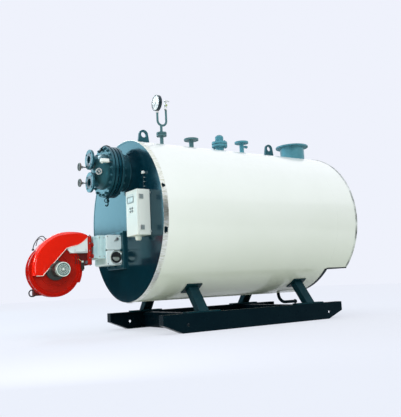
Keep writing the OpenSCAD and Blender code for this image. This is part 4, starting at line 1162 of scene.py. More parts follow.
def buildFlange():
    softened("burner_flange", "redCast", 4, 3)
    low, high = span("burner_flange")
    side = high.y - low.y
    pitch = side / hinge["knuckles"]
    x = low.x + 17
    y = low.y - hinge["out"]
    knuckles = []
    for i in range(hinge["knuckles"]):
        start = low.z + i * pitch + hinge["gap"]
        knuckles.append(uprightTurned([(start, 0.0), (start, 9.0), (start + 2, hinge["radius"]),
                                       (start + pitch - 14, hinge["radius"]), (start + pitch - 12, 9.0),
                                       (start + pitch - 12, 0.0)], x, y, steps=24))
    makePiece("flangeHinge", joined(*knuckles), "redCast")
    pin = uprightTurned([(low.z - 6, 0.0), (low.z - 6, 6.0), (high.z + 8, 6.0), (high.z + 8, 0.0)], x, y,
                        steps=20)
    makePiece("flangePin", pin, "drum")
    nut = {**frameBolt, "Count": 1, "Head Width": 28.0, "Head Height": 14.0}
    nuts = [moved(grown(boltRow, "steel", {**nut, "Seed": int(y + z + 900)}), (low.x, y, z), towardFront)
            for y in (low.y + 26, high.y - 26) for z in (low.z + 26, high.z - 26)]
    makePiece("flangeNuts", joined(*nuts), "drum")


# the fan's scroll, motor and intake
fanLow, fanHigh = span("burner_motor")
fanX = (fanLow.x + fanHigh.x) / 2
fanZ = (fanLow.z + fanHigh.z) / 2
volute = {"start": 228, "end": 248, "first": -30, "step": 3, "lip": 8, "rimDepth": 8}


def voluteRadius(turn):
    return volute["start"] + (volute["end"] - volute["start"]) * turn / 360


def voluteLoop(bm, inset, y):
    # one turn of the scroll's outline, drawn in by the inset
    row = []
    for turn in range(0, 360, volute["step"]):
        radius = voluteRadius(turn) - inset
        angle = math.radians(volute["first"] - turn)
        row.append(bm.verts.new((fanX + radius * math.cos(angle), y, fanZ + radius * math.sin(angle))))
    return row


def buildScroll():
    low, high = span("burner_scroll")
    near, far, lip = low.y, high.y, volute["lip"]
    # inset and place of each loop, from the far face round the wall to the recess
    profile = [(6, far), (1, far - 1), (0, far - 4), (0, far - 14), (lip, far - 17), (lip, near + 24),
               (0, near + 20), (0, near + 4), (1, near + 1), (4, near), (13, near), (14.5, near + 2.5),
               (18, near + 2.5), (19.5, near), (31, near), (33, near + 1), (34, near + 7),
               (40, near + 8)]
    bm = bmesh.new()
    rows = [voluteLoop(bm, inset, y) for inset, y in profile]
    for first, second in zip(rows, rows[1:]):
        for i in range(len(first)):
            j = (i + 1) % len(first)
            bm.faces.new((first[i], first[j], second[j], second[i]))
    bm.faces.new(rows[0])
    bm.faces.new(rows[-1])
    bmesh.ops.recalc_face_normals(bm, faces=bm.faces)
    makePiece("scrollCasting", bm, "redDeep", replaces=("burner_scroll",), angle=50)
    ribs = []
    for turn in range(20, 350, 22):
        radius = voluteRadius(turn)
        rib = softBox((radius - lip - 4, near + 22, -2.5), (radius - 1.5, far - 15, 2.5), 1, 1)
        ribs.append(moved(moved(rib, turn=(0, -(volute["first"] - turn), 0)), (fanX, 0, fanZ)))
    makePiece("scrollRibs", joined(*ribs), "redDeep")
    reach = volute["start"] - 36
    profile = [(near + 12, 0.0), (near + 7.5, 0.0), (near + 7.5, reach - 62), (near + 3, reach - 60),
               (near + 3, reach - 54), (near + 7.5, reach - 52), (near + 7.5, reach), (near + 12, reach)]
    floor = acrossTurned(profile, fanX, fanZ, steps=96)
    # the recess floor takes the darker redCast, which stands partly for painted shade in the deep recess
    makePiece("scrollFloor", floor, "redCast")
    bolts = []
    for turn in range(8, 350, 38):
        radius = voluteRadius(turn) - 15
        angle = math.radians(volute["first"] - turn)
        bolts.append(moved(grown(boltRow, "steel", {
            "Count": 1, "Head Width": 13.0, "Head Height": 5.0, "Washer Height": 1.2, "Stud Width": 6.0,
            "Stud Height": 6.5, "Seed": turn}), (fanX + radius * math.cos(angle), far,
                                                 fanZ + radius * math.sin(angle)), towardFar))
    makePiece("scrollBolts", joined(*bolts), "drum")


motor = {"bell": 88, "body": 59, "cap": 62, "capLength": 42, "fin": 5}


def buildMotor():
    low, high = span("burner_motor")
    back, front = high.y, low.y
    capBack = front + motor["capLength"]
    core = motor["body"] - motor["fin"]
    bell = [(back, 0.0), (back, motor["bell"]), (back - 20, motor["bell"]), (back - 24, motor["bell"] - 3),
            (back - 27, motor["bell"] - 8), (back - 31, motor["bell"] - 20), (back - 46, core + 3),
            (back - 48, core), (capBack + 6, core), (capBack + 4, motor["body"]), (capBack, motor["body"]),
            (capBack, 0.0)]
    makePiece("motorBody", acrossTurned(bell, fanX, fanZ, steps=72), "motor", replaces=("burner_motor",))
    length = back - 50 - capBack
    fins = grown(radialBars, "motor", {
        "Count": 30, "Middle Radius": core + motor["fin"] / 2 - 1, "Bar Depth": motor["fin"] + 2.0,
        "Bar Width": 2.2, "Bar Length": length})
    makePiece("motorFins", moved(fins, (fanX, capBack + length / 2, fanZ), towardNear), "motor")
    rim = motor["cap"]
    cap = [(capBack + 2, 0.0), (capBack + 2, rim - 3), (capBack, rim), (front + 6, rim),
           (front + 2, rim - 1), (front, rim - 4), (front, rim - 9), (front + 2, rim - 10),
           (front + 6, rim - 11), (front + 6, 0.0)]
    makePiece("motorCap", acrossTurned(cap, fanX, fanZ, steps=72), "capGrey")
    guard = [acrossTurned(ringBar(r - 1.6, r + 1.6, front + 1, front + 5), fanX, fanZ, closed=True)
             for r in (16, 28, 40)]
    hub = acrossTurned([(front + 7, 0.0), (front + 7, 11.0), (front + 1, 10.0), (front, 8.0), (front, 0.0)],
                       fanX, fanZ, steps=32)
    spokes = grown(radialBars, "capGrey", {"Count": 12, "Middle Radius": 30.0, "Bar Depth": 44.0,
                                           "Bar Width": 2.2, "Bar Length": 3.0})
    makePiece("motorGuard", joined(*guard, hub), "capPale")
    makePiece("motorSpokes", moved(spokes, (fanX, front + 3.5, fanZ), towardNear), "motor")
    lip = acrossTurned(ringBar(rim - 9, rim - 1, front - 0.2, front + 8), fanX, fanZ, closed=True)
    makePiece("motorCapLip", lip, "capPale")
    strap = acrossTurned(ringBar(rim - 1, rim + 1.5, capBack + 6, capBack + 12), fanX, fanZ, closed=True)
    makePiece("motorStrap", strap, "rubber")


intake = {"wall": 6, "slots": 40}


def buildIntake():
    low, high = span("burner_intake")
    rim = (high.x - low.x) / 2
    depth = high.y - low.y
    ends = [acrossTurned(ringBar(rim - 16, rim, low.y, low.y + 12), fanX, fanZ, closed=True),
            acrossTurned(ringBar(rim - 16, rim, high.y - 12, high.y), fanX, fanZ, closed=True)]
    plate = acrossTurned([(high.y - 9, 0.0), (high.y - 9, rim - 12), (high.y - 4, rim - 12),
                          (high.y - 4, 40.0), (high.y - 1, 36.0), (high.y - 1, 0.0)], fanX, fanZ, steps=72)
    drum = acrossTurned([(low.y + 2, 0.0), (low.y + 2, rim - 22), (high.y - 6, rim - 22),
                         (high.y - 6, 0.0)], fanX, fanZ, steps=72)
    makePiece("intakeFrame", joined(*ends, plate), "darkRed", replaces=("burner_intake",))
    makePiece("intakeCore", drum, "rubber")
    bars = grown(radialBars, "darkRed", {"Count": intake["slots"], "Middle Radius": rim - 6.0,
                                         "Bar Depth": 9.0, "Bar Width": 3.0, "Bar Length": depth - 20})
    makePiece("intakeBars", moved(bars, (fanX, (low.y + high.y) / 2, fanZ), towardNear), "darkRed")


# the red hood and what it covers
hood = {"shoulder": 30, "farShoulder": 12, "step": 7, "stepAt": 114, "sheet": 3.5, "smooth": 6,
        "bead": 3.2}
backShares = [(0, 0.92), (0.12, 0.98), (0.30, 1), (0.46, 0.985), (0.60, 0.93), (0.73, 0.83),
              (0.85, 0.69), (0.94, 0.51), (0.986, 0.32), (1, 0.13), (0.99, 0)]
edgeShares = [(0.825, 0), (0.395, 0.61), (0.31, 0.645), (0.19, 0.68), (0.115, 0.73), (0.04, 0.81),
              (0, 0.86)]
panelShares = [(0, 0.50), (0, 0.85), (0.04, 0.80), (0.115, 0.72), (0.19, 0.67), (0.31, 0.635),
               (0.38, 0.60), (0.325, 0.50)]
hoodLow, hoodHigh = span("burner_hood")


def hoodSpot(share, y=0.0):
    return Vector((hoodHigh.x - share[0] * (hoodHigh.x - hoodLow.x), y,
                   hoodLow.z + share[1] * (hoodHigh.z - hoodLow.z)))


def hoodSection(bm, at, inward, shoulder):
    # from the far lip over the crown to the near face
    near, far = hoodLow.y, hoodHigh.y
    step, farRound, crown = hood["step"], hood["farShoulder"], hood["stepAt"]
    steps = [(step + farRound + 8, far), (step + farRound, far)]
    steps += [(step + farRound * (1 - math.sin(a)), far - farRound * (1 - math.cos(a)))
              for a in (0.5, 1.0, math.pi / 2)]
    steps += [(step, crown + 6), (step - 1.5, crown + 3), (1.5, crown - 1), (0, crown - 5)]
    steps += [(shoulder * (1 - math.cos(a)), near + shoulder * (1 - math.sin(a)))
              for a in [math.pi / 2 * k / 8 for k in range(9)]]
    steps.append((shoulder + 4, near))      # keeps the flat face's shading off the round
    return [bm.verts.new((at.x + inward.x * d, y, at.z + inward.z * d)) for d, y in steps]


def buildHood():
    path = smoothPath([hoodSpot(share) for share in backShares], hood["smooth"])
    bm = bmesh.new()
    rows = []
    for i, at in enumerate(path):
        along = (path[min(i + 1, len(path) - 1)] - path[max(i - 1, 0)]).normalized()
        inward = Vector((-along.z, 0, along.x))
        grow = min(1.0, i / (2.6 * hood["smooth"]))
        rows.append(hoodSection(bm, at, inward, hood["shoulder"] * (0.22 + 0.78 * grow)))
    for first, second in zip(rows, rows[1:]):
        for i in range(len(first) - 1):
            bm.faces.new((first[i], first[i + 1], second[i + 1], second[i]))
    rim = [row[-1] for row in rows]
    edge = [bm.verts.new(hoodSpot(share, hoodLow.y)) for share in edgeShares]
    bm.faces.new(rim + edge)
    bmesh.ops.recalc_face_normals(bm, faces=bm.faces)
    face = max(bm.faces, key=lambda f: f.calc_area())
    if face.normal.y > 0:
        bmesh.ops.reverse_faces(bm, faces=bm.faces)
    bmesh.ops.triangulate(bm, faces=[face])
    bmesh.ops.solidify(bm, geom=bm.faces[:], thickness=hood["sheet"])
    bmesh.ops.recalc_face_normals(bm, faces=bm.faces)
    makePiece("hoodShell", bm, "red", replaces=("burner_hood",), angle=40)
    # the bead's pale pink finish is a painted highlight along the hood's lower edge
    nose = Vector((path[-1].x + hood["shoulder"] * 0.9, hoodLow.y + 1, hoodLow.z))
    line = [nose] + [hoodSpot(share, hoodLow.y + 1) for share in edgeShares]
    makePiece("hoodBead", tube(line, hood["bead"], 10), "bead")


def buildPanel():
    low, high = span("burner_side_panel")
    outline = [(p.x, p.z) for p in (hoodSpot(share) for share in panelShares)]
    sheet = softPrism(outline, low.y + 2, high.y, 2.5)
    makePiece("sidePanel", sheet, "panelPale", replaces=("burner_side_panel",))
    lower = softPrism([(high.x - 4, low.z + 6), (high.x - 4, low.z + 12), (low.x + 60, low.z + 12),
                       (low.x + 60, low.z + 6)], low.y, low.y + 4, 1)
    screws = [moved(slottedScrew(5, 3), (x, low.y + 2, low.z + 26), towardNear)
              for x in (high.x - 18, high.x - 120)]
    makePiece("panelTrim", joined(lower, *screws), "steel")


def buildCasting():
    softened("burner_body", "darkRed", 4, 3)
    low, high = span("burner_body")
    near = low.y
    firstRib, pitch = high.x - 112, 18
    ribs = [softBox((firstRib + pitch * i, near - 5, high.z - 282),
                    (firstRib + pitch * i + 6, near + 2, high.z - 204), 1.5) for i in range(5)]
    makePiece("castingRibs", joined(*ribs), "darkRed")


def buildAirSwitch():
    low, high = span("burner_switch")
    mid = (low + high) / 2
    body = softBox((low.x, low.y + 3, low.z + 12), (high.x, high.y, high.z - 14), 3)
    cover = softBox((low.x + 2, low.y, low.z + 16), (high.x - 2, low.y + 6, high.z - 20), 2)
    knurl = uprightTurned([(high.z - 16, 0.0), (high.z - 16, 11.0), (high.z - 2, 11.0), (high.z, 9.0),
                           (high.z, 0.0)], mid.x, mid.y, steps=24)
    gland = uprightTurned([(low.z, 0.0), (low.z, 6.0), (low.z + 5, 8.5), (low.z + 14, 8.5),
                           (low.z + 14, 0.0)], mid.x, mid.y, steps=24)
    makePiece("airSwitchBody", joined(body, cover, gland), "rubber", replaces=("burner_switch",))
    makePiece("airSwitchKnob", knurl, "capPale")
    pipe = smoothPath([(mid.x - 4, high.y - 4, high.z - 22), (mid.x - 16, low.y + 6, high.z - 4),
                       (mid.x - 30, high.y - 6, high.z + 14), (mid.x - 34, high.y + 6, high.z + 18)], 6)
    makePiece("airSwitchTube", tube(pipe, 3), "brass")


burnerTubes = {
    # route in the part's millimetres, radius and finish
    "ignitionCable": ([(-806, 184, -246), (-792, 200, -204), (-766, 206, -160), (-736, 208, -130),
                       (-708, 204, -126), (-690, 184, -152)], 4.2, "rubber"),
    "sensorCable": ([(-778, 184, -212), (-758, 198, -160), (-730, 200, -146), (-712, 184, -166)], 3.2,
                    "rubber"),
    "airLoop": ([(-792, 176, -604), (-826, 170, -596), (-850, 158, -616), (-843, 150, -646),
                 (-812, 152, -650), (-782, 172, -634)], 5.5, "rubber"),
}


def buildBurnerTubes():
    for name, (route, radius, look) in burnerTubes.items():
        makePiece(name, tube(smoothPath(route, 8), radius, 12), look)
    servo = joined(softBox((-806, 166, -648), (-728, 222, -580), 5, 3),
                   softBox((-798, 160, -640), (-740, 170, -590), 3))
    makePiece("damperDrive", servo, "darkRed")
    glands = [moved(turned(knob(16, 9, 2, -6), steps=24), at, (0, 0, 90)) for at in
              ((-806, 176, -246), (-690, 176, -154))]
    makePiece("cableGlands", joined(*glands), "rubber")


buildBlock()
buildBurnerFrame()
buildNeck()
buildFlange()
buildScroll()
buildMotor()
buildIntake()
buildHood()
buildPanel()
buildCasting()
buildAirSwitch()
buildBurnerTubes()
print("burner ready")


# the heat exchanger on the plate's upper half
# the head's lighter teal is a painted highlight on the dome's upper side
exchangerLook = {"exchanger_tube_sheet": "teal", "exchanger_head": "tealLugPaintedLight"}
exchanger = {"studs": 20, "pitchWidth": 435.0, "studWidth": 16.0}
frontNut = {"Head Width": 25.0, "Head Height": 11.0, "Washer Height": 2.5, "Stud Width": 14.0,
            "Stud Height": 20.0}
flangeNut = {"Head Width": 26.0, "Head Height": 12.0, "Washer Height": 2.5, "Stud Width": 14.0,
             "Stud Height": 19.0}


def buildExchanger():
    shellLow, shellHigh = span("exchanger_shell")
    z = (shellLow.z + shellHigh.z) / 2
    for name in ("exchanger_shell", "exchanger_tube_sheet", "exchanger_channel", "exchanger_head"):
        softened(name, exchangerLook.get(name, "tealCast"), 2.2)
    front = span("exchanger_channel")[0].x
    rear = shellLow.x + 22
    values = {**frontNut, "Count": exchanger["studs"], "Ring Width": exchanger["pitchWidth"]}
    # the nuts' lighter teal is painted light
    makePiece("exchangerNuts", joined(
        moved(grown(boltRing, "nutBluePaintedLight", values), (front, 0, z), towardFront),
        moved(grown(boltRing, "nutBluePaintedLight", {**values, "Seed": 8}), (rear, 0, z), alongX)),
        "nutBluePaintedLight")
    rods = []
    for i in range(exchanger["studs"]):
        angle = math.tau * i / exchanger["studs"]
        rod = turned([(front, 0.0), (front, exchanger["studWidth"] / 2), (rear, exchanger["studWidth"] / 2),
                      (rear, 0.0)], steps=12)
        rods.append(moved(rod, (0, exchanger["pitchWidth"] / 2 * math.sin(angle),
                                z + exchanger["pitchWidth"] / 2 * math.cos(angle))))
    makePiece("exchangerRods", joined(*rods), "tealCast")


def buildWaterFlanges():
    for name in ("water_outlet", "water_inlet"):
        softened(name, "tealCast", 1.8)
        low, high = span(name)
        z = (low.z + high.z) / 2
        raised = turned(ringBar(37, 62, low.x, low.x + 1.0), closed=True, steps=72)
        makePiece(name + "Face", moved(raised, (-0.6, 0, z)), "drum")


# the control box on the plate
box = {
    "screen": (-392, 136, 112, 50),    # middle across and up, width and height
    "buttons": [(-385, 60), (-425, 60), (-385, 34), (-425, 34)],
    "hinges": [(-86, 152), (-82, -113)],
    "hingeSide": 40,
    "gland": (-66, -404, 27),
}


def buildControlBox():
    low, high = span("control_box")
    doorLow, doorHigh = span("control_door")
    makePiece("boxBody", softBox(low, high, 6, 3), "boxPale", replaces=("control_box",))
    makePiece("boxDoor", softBox(doorLow, doorHigh, 6, 3), "boxPale", replaces=("control_door",))
    inset = 5
    makePiece("boxSeal", softBox((doorHigh.x - 2, low.y + inset, low.z + inset),
                                 (low.x + 2, high.y - inset, high.z - inset), 1), "capGrey")
    front = doorLow.x
    y, z, width, height = box["screen"]
    frameBars = [softBox((front - 5, y - width / 2, z + side * height / 2 - 5),
                         (front + 2, y + width / 2, z + side * height / 2 + 5), 1.5) for side in (-1, 1)]
    frameBars += [softBox((front - 5, y + side * width / 2 - 5, z - height / 2),
                          (front + 2, y + side * width / 2 + 5, z + height / 2), 1.5) for side in (-1, 1)]
    makePiece("screenFrame", joined(*frameBars), "hingeGrey")
    makePiece("screenPlate", softBox((front - 1.5, y - width / 2 + 2, z - height / 2 + 2),
                                     (front + 1, y + width / 2 - 2, z + height / 2 - 2), 0.6),
              "screenPale")
    marks = []
    for row, count in ((8, 4), (-12, 5)):
        for i in range(count):
            at = y + (i - (count - 1) / 2) * 16
            for below, end in ((-5, 5), (4, 2)):
                marks.append(softBox((front - 2.4, at - 5, z + row + below),
                                     (front - 1, at + end, z + row + below + 3), 0.4, 1))
    makePiece("screenMarks", joined(*marks), "hingeGrey")
    strip = softBox((front - 3, y - width / 2, z + height / 2 + 14),
                    (front + 1, y + width / 2, z + height / 2 + 22), 1)
    makePiece("boxStrip", strip, "screenPale")
    buttons = [moved(turned([(9, 0.0), (9, 6.0), (7, 8.0), (2, 8.5), (2, 11.0), (0, 11.5), (-1, 11.5),
                             (-1, 0.0)], steps=28), (front, by, bz), (0, 0, 180))
               for by, bz in box["buttons"]]
    makePiece("boxButtons", joined(*buttons), "hingeGrey")
    half = box["hingeSide"] / 2
    leaves, pins = [], []
    for x, hz in box["hinges"]:
        leaves.append(softBox((x - half, low.y - 5, hz - half), (x + half, low.y + 2, hz + half), 1.5))
        pins.append(uprightTurned([(hz - half, 0.0), (hz - half, 5.0), (hz + half, 5.0), (hz + half, 0.0)],
                                  x - half + 4, low.y - 5, steps=16))
        for sx in (x - 2, x + 11):
            for sz in (hz - 10, hz + 10):
                pins.append(moved(slottedScrew(3.2, 2.2), (sx, low.y - 5, sz), towardNear))
    makePiece("boxHinges", joined(*leaves), "hingeGrey")
    makePiece("hingePins", joined(*pins), "steel")
    x, y, radius = box["gland"]
    gland = uprightTurned([(low.z + 2, 0.0), (low.z + 2, radius + 3), (low.z - 8, radius + 3),
                           (low.z - 10, radius), (low.z - 30, radius), (low.z - 33, radius - 4),
                           (low.z - 38, radius - 5), (low.z - 38, 0.0)], x, y, steps=40)
    nut = uprightTurned([(low.z - 12, 0.0), (low.z - 12, radius + 4), (low.z - 24, radius + 4),
                         (low.z - 24, 0.0)], x, y, steps=6)
    makePiece("boxGland", joined(gland, nut), "boxPale")
    louvres = grown(slatStack, "boxPale", {"Count": 8, "Pitch": 10.0, "Slat Length": 70.0,
                                           "Slat Width": 9.0, "Slat Height": 2.0, "Tilt": 0.7})
    makePiece("boxLouvres", moved(louvres, ((low.x + high.x) / 2, high.y + 1, low.z + 60)), "boxPale")
    feet = [softBox((high.x - 8, fy - 14, fz - 9), (high.x, fy + 14, fz + 9), 2)
            for fy in (low.y - 2, high.y + 2) for fz in (low.z + 30, high.z - 30)]
    makePiece("boxFeet", joined(*feet), "hingeGrey")


# dials: the thermometers and the pressure gauge face forwards
def lettering(text, size):
    curve = bpy.data.curves.new("figures", "FONT")
    curve.body = text
    curve.size = size
    curve.extrude = 0.3
    curve.align_x = "CENTER"
    curve.align_y = "CENTER"
    holder = addObject("figures", curve)
    mesh = bpy.data.meshes.new_from_object(holder.evaluated_get(bpy.context.evaluated_depsgraph_get()))
    bm = bmesh.new()
    bm.from_mesh(mesh)
    bpy.data.objects.remove(holder)
    bpy.data.curves.remove(curve)
    bpy.data.meshes.remove(mesh)
    return bm


def dialParts(name, centre, radius, depth, rim, needle, figures, looks, replaces):
    # centre is the middle of the front face; the case reaches back by depth
    x, y, z = centre
    case = turned([(x, radius - rim), (x, radius - 1.5), (x + 1.5, radius), (x + depth - 3, radius),
                   (x + depth, radius - 4), (x + depth, 0.0), (x + 4, 0.0), (x + 4, radius - rim)],
                  steps=72)
    makePiece(name + "Case", moved(case, (0, y, z)), looks[0], replaces=replaces)
    face = radius - rim
    card = turned([(x + 4.5, 0.0), (x + 3, 0.0), (x + 3, face - 0.5), (x + 4.5, face - 0.5)], steps=64)
    makePiece(name + "Card", moved(card, (0, y, z)), looks[1])
    ink = [grown(dialTicks, "ink", {"Count": 11, "Start": 2.356, "Sweep": -4.712, "Reach": face * 0.93,
                                    "Stroke": face * 0.12, "Stroke Width": face * 0.022}),
           grown(dialTicks, "ink", {"Count": 51, "Start": 2.356, "Sweep": -4.712, "Reach": face * 0.93,
                                    "Stroke": face * 0.05, "Stroke Width": face * 0.008}),
           grown(dialTicks, "ink", {"Count": 90, "Start": 2.356, "Sweep": -4.712, "Reach": face * 0.945,
                                    "Stroke": face * 0.010, "Stroke Width": face * 0.050})]
    for i, text in enumerate(figures):
        angle = 2.356 - 4.712 * i / (len(figures) - 1)
        reach = face * 0.66
        figure = moved(lettering(text, face * 0.2), turn=(0, 0, -90))
        ink.append(moved(figure, (reach * math.cos(angle), reach * math.sin(angle), 0)))
    makePiece(name + "Ink", moved(joined(*ink), (x + 2.6, y, z), towardFront), "ink")
    pointer = bmesh.new()
    shape = [(-face * 0.22, -face * 0.04), (face * 0.74, -face * 0.012), (face * 0.74, face * 0.012),
             (-face * 0.22, face * 0.04)]
    lower = [pointer.verts.new((px, py, 0.6)) for px, py in shape]
    upper = [pointer.verts.new((px, py, 1.4)) for px, py in shape]
    pointer.faces.new(lower)
    pointer.faces.new(reversed(upper))
    for i in range(4):
        j = (i + 1) % 4
        pointer.faces.new((lower[i], lower[j], upper[j], upper[i]))
    bmesh.ops.recalc_face_normals(pointer, faces=pointer.faces)
    moved(pointer, turn=(0, 0, math.degrees(2.356 - 4.712 * needle)))
    boss = moved(turned(knob(2.4, face * 0.09, 0.6), steps=24), turn=(0, -90, 0))
    makePiece(name + "Pointer", moved(joined(pointer, boss), (x + 2.6, y, z), towardFront), "ink")
    if looks[1] != "dialWhite":
        return
    glass = turned([(x + 0.6, 0.0), (x + 0.6, face + 1), (x + 0.2, face + 1), (x + 0.2, 0.0)], steps=64)
    cover = makePiece(name + "Glass", moved(glass, (0, y, z)), "glass")
    cover.visible_shadow = False      # the card behind it stays lit


gauge = {"rim": 8, "figures": ["0", "0.4", "0.8", "1.2", "1.6"], "needle": 0.0}


def buildGauge():
    low, high = span("pressure_gauge")
    centre = (low.x, (low.y + high.y) / 2, (low.z + high.z) / 2)
    radius = (high.z - low.z) / 2
    dialParts("pressureGauge", centre, radius, high.x - low.x, gauge["rim"], gauge["needle"],
              gauge["figures"], ("gaugeCase", "dialWhite"), ("pressure_gauge",))
    x = (low.x + high.x) / 2
    nuts = [uprightTurned([(low.z - 22, 0.0), (low.z - 22, 17.0), (low.z - 4, 17.0), (low.z - 4, 0.0)],
                          x, 0, steps=6),
            uprightTurned([(low.z - 6, 0.0), (low.z - 6, 11.0), (low.z + 6, 11.0), (low.z + 6, 0.0)],
                          x, 0, steps=24)]
    makePiece("gaugeNut", joined(*nuts), "nickel")


def buildThermometers():
    low, high = span("thermometers")
    radius = 38
    y = (low.y + high.y) / 2
    for name, z, needle in (("upperThermometer", high.z - radius, 0.42),
                            ("lowerThermometer", low.z + radius, 0.3)):
        replaces = ("thermometers",) if name.startswith("upper") else ()
        dialParts(name, (low.x, y, z), radius, 14, 6, needle, ["0", "40", "80", "120"],
                  ("bronze", "dialDark"), replaces)
        stem = turned([(low.x + 13, 0.0), (low.x + 13, 9.0), (low.x + 24, 9.0), (low.x + 25, 6.0),
                       (high.x, 6.0), (high.x, 0.0)], steps=24)
        nut = turned([(low.x + 26, 0.0), (low.x + 26, 13.0), (low.x + 40, 13.0), (low.x + 40, 0.0)], steps=6)
        makePiece(name + "Stem", moved(joined(stem, nut), (0, y, z)), "steel")


def buildGaugeValve():
    low, high = span("gauge_valve")
    x, base, top = low.x + 16, low.z, high.z
    body = uprightTurned([(base, 0.0), (base, 13.0), (base + 14, 13.0), (base + 18, 10.0), (base + 28, 10.0),
                          (base + 34, 16.0), (base + 62, 16.0), (base + 68, 10.0), (top - 22, 10.0),
                          (top - 20, 14.0), (top - 10, 14.0), (top - 10, 0.0)], x, 0, steps=32)
    nuts = [uprightTurned([(z0, 0.0), (z0, 16.0), (z1, 16.0), (z1, 0.0)], x, 0, steps=6)
            for z0, z1 in ((base + 2, base + 13), (top - 22, top - 12))]
    makePiece("gaugeCock", joined(body, *nuts), "nickel", replaces=("gauge_valve",))
    lever = softPrism([(x - 9, top - 10), (x - 9, top - 2), (x + 10, top - 2), (high.x - 4, top - 8),
                       (high.x - 4, top - 14), (x + 12, top - 10)], -7, 7, 2)
    makePiece("gaugeLever", lever, "nickel")
    tag = moved(turned(knob(10, 8, 1.5, -2), steps=24), (x, -14, base + 48), (0, 0, -90))
    makePiece("gaugeTag", tag, "limeCap")


# fittings on the crown
crown = {
    "gaugeX": 431, "stubTop": 894, "stubFoot": 858,
    "safetyJoint": 60, "safetyPair": 52,      # the flange pair's foot and height
    "branchRise": 95,
    "collars": [(431, 13.5), (777, 24), (1130, 44.5), (1423, 24)],      # place and pipe radius
    "flue": (2152, 137.5),
}


def buildCrownFittings():
    low, high = span("safety_valve")
    x = (low.x + high.x) / 2
    # the crown's fittings take lighter copies of the teal paint, which stand for painted sunlight
    for name, look in (("vent_nozzle", "pipeTealPaintedLight"), ("feed_nozzle", "tealTopPaintedLight"),
                       ("flue_stub", "flueTealPaintedLight"), ("safety_valve", "tealTopPaintedLight"),
                       ("gauge_siphon", "pipeTealPaintedLight"), ("lifting_lugs", "tealLugPaintedLight")):
        softened(name, look, 1.8)
    joint = shellRadius + crown["safetyJoint"]
    nut = {**flangeNut, "Count": 8, "Ring Width": 132.0, "Head Width": 20.0, "Head Height": 8.0,
           "Washer Height": 1.5, "Stud Width": 12.0, "Stud Height": 12.0}
    top = joint + crown["safetyPair"]
    makePiece("safetyNuts", joined(
        moved(grown(boltRing, "tealTopPaintedLight", {**nut, "Phase": 0.39}), (x, 0, top)),
        moved(grown(boltRing, "tealTopPaintedLight", {**nut, "Phase": 0.39, "Seed": 9}), (x, 0, joint), (180, 0, 0))),
        "tealTopPaintedLight")
    cap = uprightTurned([(high.z - 30, 0.0), (high.z - 30, 30.0), (high.z - 4, 30.0), (high.z, 26.0),
                         (high.z, 0.0)], x, 0, steps=6)
    makePiece("safetyCap", cap, "tealCast")
    mark = acrossTurned([(-31, 0.0), (-31, 6.0), (-27, 7.0), (-24, 7.0), (-24, 0.0)], x, high.z - 16,
                        steps=24)
    makePiece("safetyMark", mark, "black")
    stubNut = {**flangeNut, "Count": 4, "Ring Width": 78.0, "Head Width": 15.0, "Head Height": 5.0,
               "Washer Height": 1.0, "Stud Width": 8.0, "Stud Height": 8.0, "Phase": 0.785}
    makePiece("siphonNuts", joined(
        moved(grown(boltRing, "pipeTealPaintedLight", stubNut), (crown["gaugeX"], 0, crown["stubTop"])),
        moved(grown(boltRing, "pipeTealPaintedLight", {**stubNut, "Seed": 4}), (crown["gaugeX"], 0, crown["stubFoot"]),
              (180, 0, 0))),
        "pipeTealPaintedLight")
    low, high = span("feed_nozzle")
    cap = turned([(high.x - 17, 0.0), (high.x - 17, 16.0), (high.x - 3, 16.0), (high.x - 1, 13.0),
                  (high.x - 1, 0.0)], steps=6)
    makePiece("feedBranchCap", moved(cap, (0, 0, shellRadius + crown["branchRise"])), "tealCast")


# the clad shell and its ends
def saddlePath(x, radius, steps=72):
    # where an upright pipe meets the shell
    points = []
    for i in range(steps):
        px = x + radius * math.cos(math.tau * i / steps)
        py = radius * math.sin(math.tau * i / steps)
        points.append((px, py, math.sqrt(shellRadius ** 2 - py * py)))
    return points


shellLow, shellHigh = span("shell_cladding")
shellRadius = (shellHigh.y - shellLow.y) / 2
seams = {"bead": 8.0, "pitch": 3.4}


